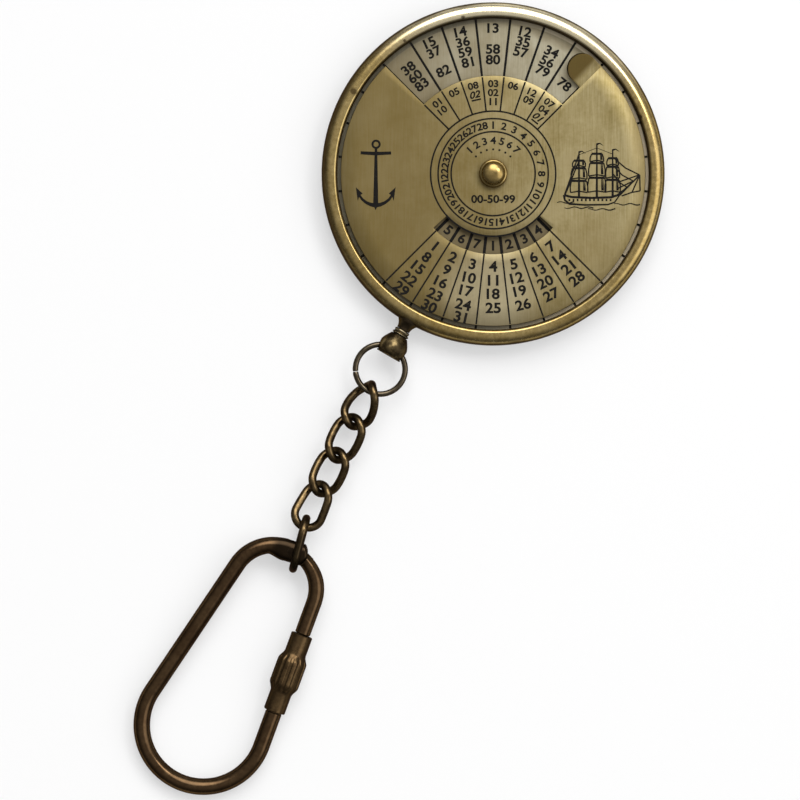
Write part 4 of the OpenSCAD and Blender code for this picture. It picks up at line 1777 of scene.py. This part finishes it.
@dataclass
class CurbChain:
    """Four twisted curb links and the plain end link that stands on edge round the fork."""

    height: float = 2.75
    wire: float = 0.6
    half_length: float = 3.365
    half_width: float = 2.0
    turn: float = 4.1
    centres: tuple[Point, ...] = (
        (0.2406, -38.7443),
        (0.6295, -44.1703),
        (1.0185, -49.5964),
        (1.4074, -55.0225),
    )
    rolls: tuple[Point, ...] = ((-45.0, 80.0), (-45.0, 45.0), (-45.0, 45.0), (-10.0, 45.0))
    end_centre: Point = (2.5393, -60.7627)
    end_turn: float = 15.0
    end_half_length: float = 3.8
    end_half_width: float = 2.1
    rings: int = 96
    sides: int = 18
    curb_step: float = 0.002
    end_step: float = 0.004

    def build(self) -> None:
        """Makes the links one by one."""
        for number in range(len(self.centres)):
            self.make_curb(number)
        self.make_end()

    def oval(self, share: float, half_length: float, half_width: float) -> Point:
        """Point a share of the way round a straight-sided oval.

        Args:
            share: Share of the way round, from its far end.
            half_length: Half its length.
            half_width: Half its width.

        Returns:
            The point, its length first.
        """
        run = half_length - half_width
        bend = math.pi * half_width
        gone = (share % 1.0) * (2 * bend + 4 * run)
        if gone < bend / 2:
            x, y = polar(half_width, math.degrees(gone / half_width))
            return run + x, y
        if gone < bend / 2 + 2 * run:
            return run - (gone - bend / 2), half_width
        if gone < 1.5 * bend + 2 * run:
            x, y = polar(half_width, 90.0 + math.degrees((gone - bend / 2 - 2 * run) / half_width))
            return x - run, y
        if gone < 1.5 * bend + 4 * run:
            return gone - 1.5 * bend - 3 * run, -half_width
        x, y = polar(half_width, 270.0 + math.degrees((gone - 1.5 * bend - 4 * run) / half_width))
        return run + x, y

    def curb_point(self, share: float, roll: Point) -> tuple[Vector, float]:
        """Point of a twisted link's wire and its roll there.

        Args:
            share: Share of the way round.
            roll: Roll of its lower and upper end, in degrees.

        Returns:
            The point in the link's frame, and the roll in radians.
        """
        length, width = self.oval(share, self.half_length, self.half_width)
        turn = math.radians(roll[0] + (roll[1] - roll[0]) * (length / self.half_length + 1.0) / 2)
        return Vector((width * math.cos(turn), length, width * math.sin(turn))), turn

    def make_curb(self, number: int) -> None:
        """Twists one curb link.

        Args:
            number: Its place in the chain, from 0.
        """
        roll = self.rolls[number]
        stations = []
        for i in range(self.rings):
            share = i / self.rings
            point, turn = self.curb_point(share, roll)
            ahead, behind = (self.curb_point(share + d, roll)[0] for d in (self.curb_step, -self.curb_step))
            along = (ahead - behind).normalized()
            face = Vector((-math.sin(turn), 0.0, math.cos(turn)))
            up = (face - along * face.dot(along)).normalized()
            stations.append(Station(point, along, up, self.wire, self.wire))
        link = Stock()
        link.sweep(stations, self.sides, closed=True)
        link.place(shift(*self.centres[number], self.height) @ turn_z(self.turn))
        name = f"chain_link_{number + 1}"
        seat = Seat(f"link_{number + 1}", "chain_brass", (name,))
        link.finish(f"curb_{number + 1}", CHAIN, seat, sharp=60.0)

    def make_end(self) -> None:
        """Bends the end link, standing on edge."""
        across = Vector((1.0, 0.0, 0.0))
        stations = []
        for i in range(self.rings):
            shares = [i / self.rings + d for d in (0.0, self.end_step, -self.end_step)]
            spots = [self.oval(share, self.end_half_length, self.end_half_width) for share in shares]
            here, ahead, behind = (Vector((0.0, length, -width)) for length, width in spots)
            stations.append(Station(here, (ahead - behind).normalized(), across, self.wire, self.wire))
        link = Stock()
        link.sweep(stations, self.sides, closed=True)
        link.place(shift(*self.end_centre, self.height) @ turn_z(self.end_turn))
        link.finish("end_loop", END_LINK, Seat("end", "chain_brass", ("end_link",)), sharp=60.0)


@dataclass
class LockShackle:
    """The shackle bent from one wire, its hinged gate and its fluted lock sleeve."""

    turn: float = 3.0
    pitch: float = 1.84467
    seat: Point = (1.2944, 3.84199)
    bend_top: float = 6.3
    bend_low: float = 9.0
    bend_gap: float = 22.5
    wire: float = 1.22
    gate_wire: float = 1.155
    spigot_wire: float = 1.145
    spigot: Point = (5.35, 17.2)
    spigot_edge: float = 0.15
    step_edge: Point = (0.1, 0.08)
    gate_tip: float = 17.55
    gate_edge: float = 0.1
    gate_angle: float = 74.0
    gate_pinch: float = 0.12
    pinch_from: float = 30.0
    pinch_over: float = 40.0
    pinch_up: float = 0.3
    pin: Point = (0.0, 6.0)
    pin_hole: float = 0.61
    tang_hole: float = 0.65
    fork_turn: float = 10.0
    fork_half: float = 1.65
    fork_thick: float = 1.25
    fork_reach: float = 2.35
    fork_from: float = 126.0
    fork_begin: float = -1.0
    fork_square: float = 2.7
    nose_drop: float = 0.28
    slot: float = 1.1
    slot_round: float = 1.7
    slot_start: float = -0.8
    shoulder: float = 2.45
    tang_thick: float = 1.0
    tang_round: float = 1.5
    tang_arc: Point = (70.0, 250.0)
    tang_end: float = 3.3
    tang_sides: Point = (-1.7, -0.1)
    link_seat: Triple = (0.9, -2.35, 0.72)
    sleeve_low: float = 5.5
    sleeve_length: float = 11.9
    sleeve_radius: float = 1.6
    sleeve_bore: float = 1.205
    sleeve_edge: float = 0.1
    barrel: Triple = (4.3, 7.6, 2.2)
    barrel_slope: float = 1.5
    flutes: int = 12
    flute_depth: float = 0.15
    flute_steps: int = 14
    flute_land: float = 0.1
    flute_rise: float = 2.4
    flute_delay: float = 0.5
    sides: int = 28

    def __post_init__(self) -> None:
        """Works out the lean of the two straight runs and their length."""
        lean = math.asin((self.bend_low - self.bend_top) / self.bend_gap)
        self.lean = math.degrees(lean)
        self.run = self.bend_gap * math.cos(lean)
        self.corner = Vector((self.bend_low * math.cos(lean), self.bend_low * math.sin(lean) - self.bend_gap))
        self.climb = Vector((-math.sin(lean), math.cos(lean)))

    def build(self) -> None:
        """Makes the body, the gate and the sleeve, and finishes the pin."""
        self.make_body()
        self.make_gate()
        self.make_sleeve()
        coat("hinge_pin", PIN)

    def frame_place(self) -> Matrix:
        """Place of the shackle's own frame.

        Returns:
            The frame, with its origin at the hinged bend's centre.
        """
        seat = joint_place("shackle_swing")
        pitch = Matrix.Rotation(math.radians(self.pitch), 4, "X")
        return Matrix.Translation(seat) @ turn_z(self.turn) @ pitch @ shift(-self.seat[0], -self.seat[1], 0.0)

    def fork_place(self) -> Matrix:
        """Place of the fork in the shackle's frame, at the pin and along the fork."""
        return shift(*self.pin, 0.0) @ turn_z(self.fork_turn)

    def flat_station(
        self,
        centre: "Point | Vector",
        heading: float,
        side: float,
        up: float | None = None,
        square: float = 2.0,
    ) -> Station:
        """A section in the shackle's plane.

        Args:
            centre: Its centre.
            heading: Direction of the bar there, in degrees.
            side: Half its width in the plane.
            up: Half its thickness, if it isn't as thick as wide.
            square: How square it is, 2 for round.

        Returns:
            The station.
        """
        along = Vector((*polar(1.0, heading), 0.0))
        return Station(Vector((*centre[:2], 0.0)), along, UP, side, up or side, square)

    def on_run(self, distance: float, wire: float) -> Station:
        """A round section on the right-hand run, at a distance from the far bend."""
        return self.flat_station(self.corner + self.climb * distance, 90.0 + self.lean, wire)

    def body_stations(self) -> list[Station]:
        """Draws the body's wire.

        Returns:
            Its sections from the spigot's top round to the fork's end.
        """
        low, top = self.spigot
        drop, edge = self.step_edge
        sections = (
            (top, self.spigot_wire - self.spigot_edge),
            (top - self.spigot_edge, self.spigot_wire),
            (low + SLIVER, self.spigot_wire),
            (low, self.wire - edge),
            (low - drop, self.wire),
            (low / 2, self.wire),
        )
        stations = [self.turned_back(self.on_run(*section)) for section in sections]
        for i in range(65):
            angle = self.lean - (180.0 + 2 * self.lean) * i / 64
            x, y = polar(self.bend_low, angle)
            stations.append(self.flat_station((x, y - self.bend_gap), angle - 90.0, self.wire))
        for i in range(1, 8):
            spot = self.corner + self.climb * (self.run * i / 8)
            stations.append(self.flat_station((-spot.x, spot.y), 90.0 - self.lean, self.wire))
        for i in range(25):
            angle = 180.0 - self.lean + (self.fork_from - 180.0 + self.lean) * i / 24
            stations.append(self.flat_station(polar(self.bend_top, angle), angle - 90.0, self.wire))
        return stations + self.fork_stations()

    def turned_back(self, station: Station) -> Station:
        """The same section with the bar running the other way."""
        return Station(station.centre, -station.along, station.up, station.half_side, station.half_up)

    def fork_stations(self) -> list[Station]:
        """Draws the fork.

        Returns:
            Sections where the round wire widens into the fork and ends in its round nose.
        """
        place = self.fork_place()
        start = Vector(polar(self.bend_top, self.fork_from))
        begin = self.fork_begin
        target = (place @ Vector((begin, 0.0, 0.0))).xy
        span = (target - start).length
        leave = Vector(polar(span, self.fork_from - 90.0))
        arrive = Vector(polar(span, self.fork_turn))
        stations = []
        for i in range(1, 13):
            t = i / 12
            spot = start * (2 * t**3 - 3 * t**2 + 1) + leave * (t**3 - 2 * t**2 + t)
            spot += target * (3 * t**2 - 2 * t**3) + arrive * (t**3 - t**2)
            way = start * (6 * t**2 - 6 * t) + leave * (3 * t**2 - 4 * t + 1)
            way += target * (6 * t - 6 * t**2) + arrive * (3 * t**2 - 2 * t)
            grow = ease(t)
            side = self.wire + (self.fork_half - self.wire) * grow
            up = self.wire + (self.fork_thick - self.wire) * grow
            heading = math.degrees(math.atan2(way.y, way.x))
            square = 2.0 + (self.fork_square - 2.0) * grow
            stations.append(self.flat_station(spot, heading, side, up, square))
        nose = math.sqrt(self.fork_reach**2 - self.fork_half**2)
        for i in range(1, 5):
            x = begin + (nose - begin) * i / 4
            spot = place @ Vector((x, 0.0, 0.0))
            sizes = (self.fork_half, self.fork_thick, self.fork_square)
            stations.append(self.flat_station(spot, self.fork_turn, *sizes))
        for i in range(1, 11):
            x = nose + (self.fork_reach - SLIVER - nose) * math.sin(math.pi / 2 * i / 10)
            side = math.sqrt(self.fork_reach**2 - x**2)
            up = self.fork_thick - self.nose_drop * (i / 10) ** 2
            spot = place @ Vector((x, 0.0, 0.0))
            stations.append(self.flat_station(spot, self.fork_turn, side, up, self.fork_square))
        return stations

    def make_body(self) -> None:
        """Bends the body, mills the fork's slot and drills the pin hole."""
        body = Stock()
        body.sweep(self.body_stations(), self.sides)
        place = self.fork_place()
        far, wide = 2 * self.fork_reach, 2 * self.fork_half
        corner = math.degrees(math.acos(self.slot_start / self.slot_round))
        outline = [(far, wide), (self.slot_start, wide)]
        outline += arc((0.0, 0.0), self.slot_round, corner, 360.0 - corner, steps=24)
        outline += [(self.slot_start, -wide), (far, -wide)]
        mill = Stock()
        mill.slab(outline, self.slot)
        mill.place(place)
        body.cut(mill)
        body.drill(self.pin_hole, 4 * self.fork_thick, place)
        body.place(self.frame_place())
        body.finish("shackle_wire", SHACKLE, Seat("shackle", "shackle_brass", ("shackle_body",)), sharp=38.0)

    def make_gate(self) -> None:
        """Bends the gate, hollows its shoulder round the fork and adds its tang."""
        tip, half = self.gate_tip, self.gate_wire
        stations = [self.on_run(tip, self.spigot_wire - self.gate_edge)]
        stations.append(self.on_run(tip + self.gate_edge, self.spigot_wire))
        stations += [self.on_run(tip + (self.run - tip) * i / 5, half) for i in range(1, 5)]
        for i in range(41):
            angle = self.lean + (self.gate_angle - self.lean) * i / 40
            pinch = self.gate_pinch * ease((angle - self.pinch_from) / self.pinch_over)
            spot = polar(self.bend_top - pinch, angle)
            up = half - self.pinch_up * pinch
            stations.append(self.flat_station(spot, angle + 90.0, half - pinch, up))
        gate = Stock()
        gate.sweep(stations, self.sides)
        place = self.fork_place()
        gate.drill(self.shoulder, 4 * self.fork_thick, place, segments=96)
        gate.join(self.make_tang())
        for x, y, radius in ((0.0, 0.0, self.tang_hole), self.link_seat):
            gate.drill(radius, 4 * self.fork_thick, place @ shift(x, y, 0.0))
        gate.place(self.frame_place())
        gate.finish("gate_wire", SHACKLE, Seat("gate", "shackle_brass", ("shackle_gate",)), sharp=38.0)

    def make_tang(self) -> Stock:
        """Cuts the tang that runs in the fork's slot.

        Returns:
            The tang, in the shackle's frame.
        """
        tang = Stock()
        outline = arc((0.0, 0.0), self.tang_round, *self.tang_arc, steps=24)
        outline += [(self.tang_end, side) for side in self.tang_sides]
        tang.slab(outline, self.tang_thick)
        tang.place(self.fork_place())
        return tang

    def sleeve_radius_at(self, height: float) -> float:
        """Plain radius of the sleeve, before its flutes.

        Args:
            height: Height above the sleeve's lower end.

        Returns:
            The radius.
        """
        low, top, barrel = self.barrel
        rise = ease((height - low + self.barrel_slope) / self.barrel_slope)
        fall = ease((top + self.barrel_slope - height) / self.barrel_slope)
        return self.sleeve_radius + (barrel - self.sleeve_radius) * min(rise, fall)

    def make_sleeve(self) -> None:
        """Turns the sleeve, swells its barrel and presses the flutes in."""
        low, top, barrel = self.barrel
        length, edge = self.sleeve_length, self.sleeve_edge
        outline = [(self.sleeve_bore, 0.0), (self.sleeve_radius - edge, 0.0)]
        start, end = low - self.barrel_slope, top + self.barrel_slope
        swelling = [start + (end - start) * i / 26 for i in range(1, 26)]
        outline += [(self.sleeve_radius_at(h), h) for h in (edge, start, *swelling, end, length - edge)]
        outline += [(self.sleeve_radius - edge, length), (self.sleeve_bore, length)]
        sleeve = Stock()
        sleeve.lathe(outline, self.flutes * self.flute_steps)
        for vert in sleeve.bm.verts:
            ring = vert.co.xy.length
            if ring < self.sleeve_radius - SLIVER:
                continue
            swell = (ring - self.sleeve_radius) / (barrel - self.sleeve_radius)
            wave = math.cos(self.flutes * math.atan2(vert.co.y, vert.co.x))
            hollow = ease((wave + self.flute_land) / (1.0 - self.flute_land))
            press = self.flute_depth * hollow * ease(swell * self.flute_rise - self.flute_delay)
            vert.co.xy *= (ring - press) / ring
        spot = self.corner + self.climb * self.sleeve_low
        upright = Matrix.Rotation(-math.pi / 2, 4, "X")
        sleeve.place(self.frame_place() @ shift(spot.x, spot.y, 0.0) @ turn_z(self.lean) @ upright)
        sleeve.finish("sleeve_barrel", SLEEVE, Seat("sleeve", "sleeve_brass", ("lock_sleeve",)), sharp=30.0)


@dataclass
class Studio:
    """The pale table, the soft light and the camera straight above."""

    aim: Point = (4.73, -35.32)
    aim_height: float = 3.0
    view_turn: float = 30.0
    view_width: float = 116.6
    lens: float = 200.0
    sensor: float = 36.0
    table: float = 1200.0
    table_height: float = -0.02
    table_colour: Colour = (0.96, 0.96, 0.96)
    table_white: float = 0.5
    tooth: float = 0.4
    tooth_share: float = 0.04
    tooth_colour: Colour = (0.9, 0.9, 0.9)
    key_bearing: float = 70.0
    key_reach: float = 330.0
    key_height: float = 420.0
    key_size: float = 170.0
    key_power: float = 0.46
    zenith: float = 0.52
    horizon: float = 0.12
    bright_side: Point = (85.0, 62.0)
    bright_band: Point = (0.0, 0.95)
    window_band: Point = (0.88, 0.985)
    windows: tuple[Triple, ...] = ((116.0, 50.0, 4.0), (22.0, 44.0, 1.4))

    def build(self) -> None:
        """Sets up the camera, the table, the lamp and the sky."""
        bpy.context.scene.view_settings.view_transform = "Standard"
        self.set_camera()
        self.lay_table()
        self.hang_lamp()
        self.light_sky()

    def set_camera(self) -> None:
        """Places the camera over the keyring, its upright along the dial's."""
        lens = bpy.data.cameras.new("camera")
        lens.lens = self.lens
        lens.sensor_width = self.sensor
        lens.clip_start = 0.01
        camera = linked("camera", lens)
        rise = self.aim_height + self.view_width * self.lens / self.sensor
        camera.location = Vector((*self.aim, rise)) * MM
        camera.rotation_euler = (0.0, 0.0, math.radians(self.view_turn))
        bpy.context.scene.camera = camera

    def lay_table(self) -> None:
        """Lays the pale table under the keyring."""
        sheet = Stock()
        place = Matrix.Scale(MM, 4) @ shift(*self.aim, self.table_height)
        bmesh.ops.create_grid(sheet.bm, x_segments=1, y_segments=1, size=self.table / 2, matrix=place)
        table = sheet.loose("table")
        sheet.bm.free()
        material, graph = blank_material("table_paper")
        tooth = graph.noise(graph.place(), self.tooth, 2.0) * self.tooth_share
        inputs = {"Color": graph.mix(tooth, self.table_colour, self.tooth_colour)}
        paper = graph.value("ShaderNodeBsdfDiffuse", None, inputs)
        white = graph.value("ShaderNodeEmission", None, {"Color": WHITE, "Strength": 1.0})
        rays = graph.node("ShaderNodeLightPath").outputs
        seen = ("Is Camera Ray", "Is Glossy Ray", "Is Transmission Ray")
        share = graph.most(*(Socket(graph, rays[name]) for name in seen)) * self.table_white
        surface = graph.value("ShaderNodeMixShader", None, {0: share, 1: paper, 2: white})
        graph.node("ShaderNodeOutputMaterial", None, {"Surface": surface})
        table.data.materials.append(material)

    def hang_lamp(self) -> None:
        """Hangs a soft key lamp above the keyring's upper right."""
        lamp = bpy.data.lights.new("key", "AREA")
        lamp.shape = "DISK"
        lamp.size = self.key_size * MM
        lamp.energy = self.key_power
        key = linked("key", lamp)
        x, y = polar(self.key_reach, self.key_bearing)
        spot = Vector((self.aim[0] + x, self.aim[1] + y, self.key_height)) * MM
        key.location = spot
        aim = Vector((*self.aim, 0.0)) * MM
        key.rotation_euler = (spot - aim).to_track_quat("Z", "Y").to_euler()

    def light_sky(self) -> None:
        """Lights the room softly from above, brighter towards one side and through two wide windows."""
        world = bpy.data.worlds.new("studio")
        world.use_nodes = True
        graph = Graph(world.node_tree)
        sky = graph.band(self.facing(graph, self.bright_side), *self.bright_band)
        level = self.horizon + (self.zenith - self.horizon) * sky
        for bearing, elevation, glow in self.windows:
            level = level + graph.band(self.facing(graph, (bearing, elevation)), *self.window_band) * glow
        light = graph.value("ShaderNodeBackground", None, {"Color": WHITE, "Strength": level})
        graph.node("ShaderNodeOutputWorld", None, {"Surface": light})
        bpy.context.scene.world = world

    def facing(self, graph: Graph, side: Point) -> Socket:
        """How far each direction of the sky lies towards a bearing and an elevation.

        Args:
            graph: The world's graph.
            side: Bearing and elevation in degrees.

        Returns:
            The cosine of the angle between them.
        """
        x, y = polar(math.cos(math.radians(side[1])), side[0])
        aim = (x, y, math.sin(math.radians(side[1])))
        way = graph.value("ShaderNodeTexCoord", None, None, "Generated")
        return graph.value("ShaderNodeVectorMath", {"operation": "DOT_PRODUCT"}, {0: way, 1: aim}, "Value")


def write_sizes() -> None:
    """Brings the view layer up to date."""
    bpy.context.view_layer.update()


def main() -> None:
    """Builds the studio and every sub-assembly in order."""
    logging.basicConfig(level=logging.INFO, format="%(name)s: %(message)s")
    Studio().build()
    for assembly in (Case(), TurningDial(), Pivot(), Swivel(), CurbChain(), LockShackle()):
        assembly.build()
    write_sizes()


if __name__ == "__main__":
    main()
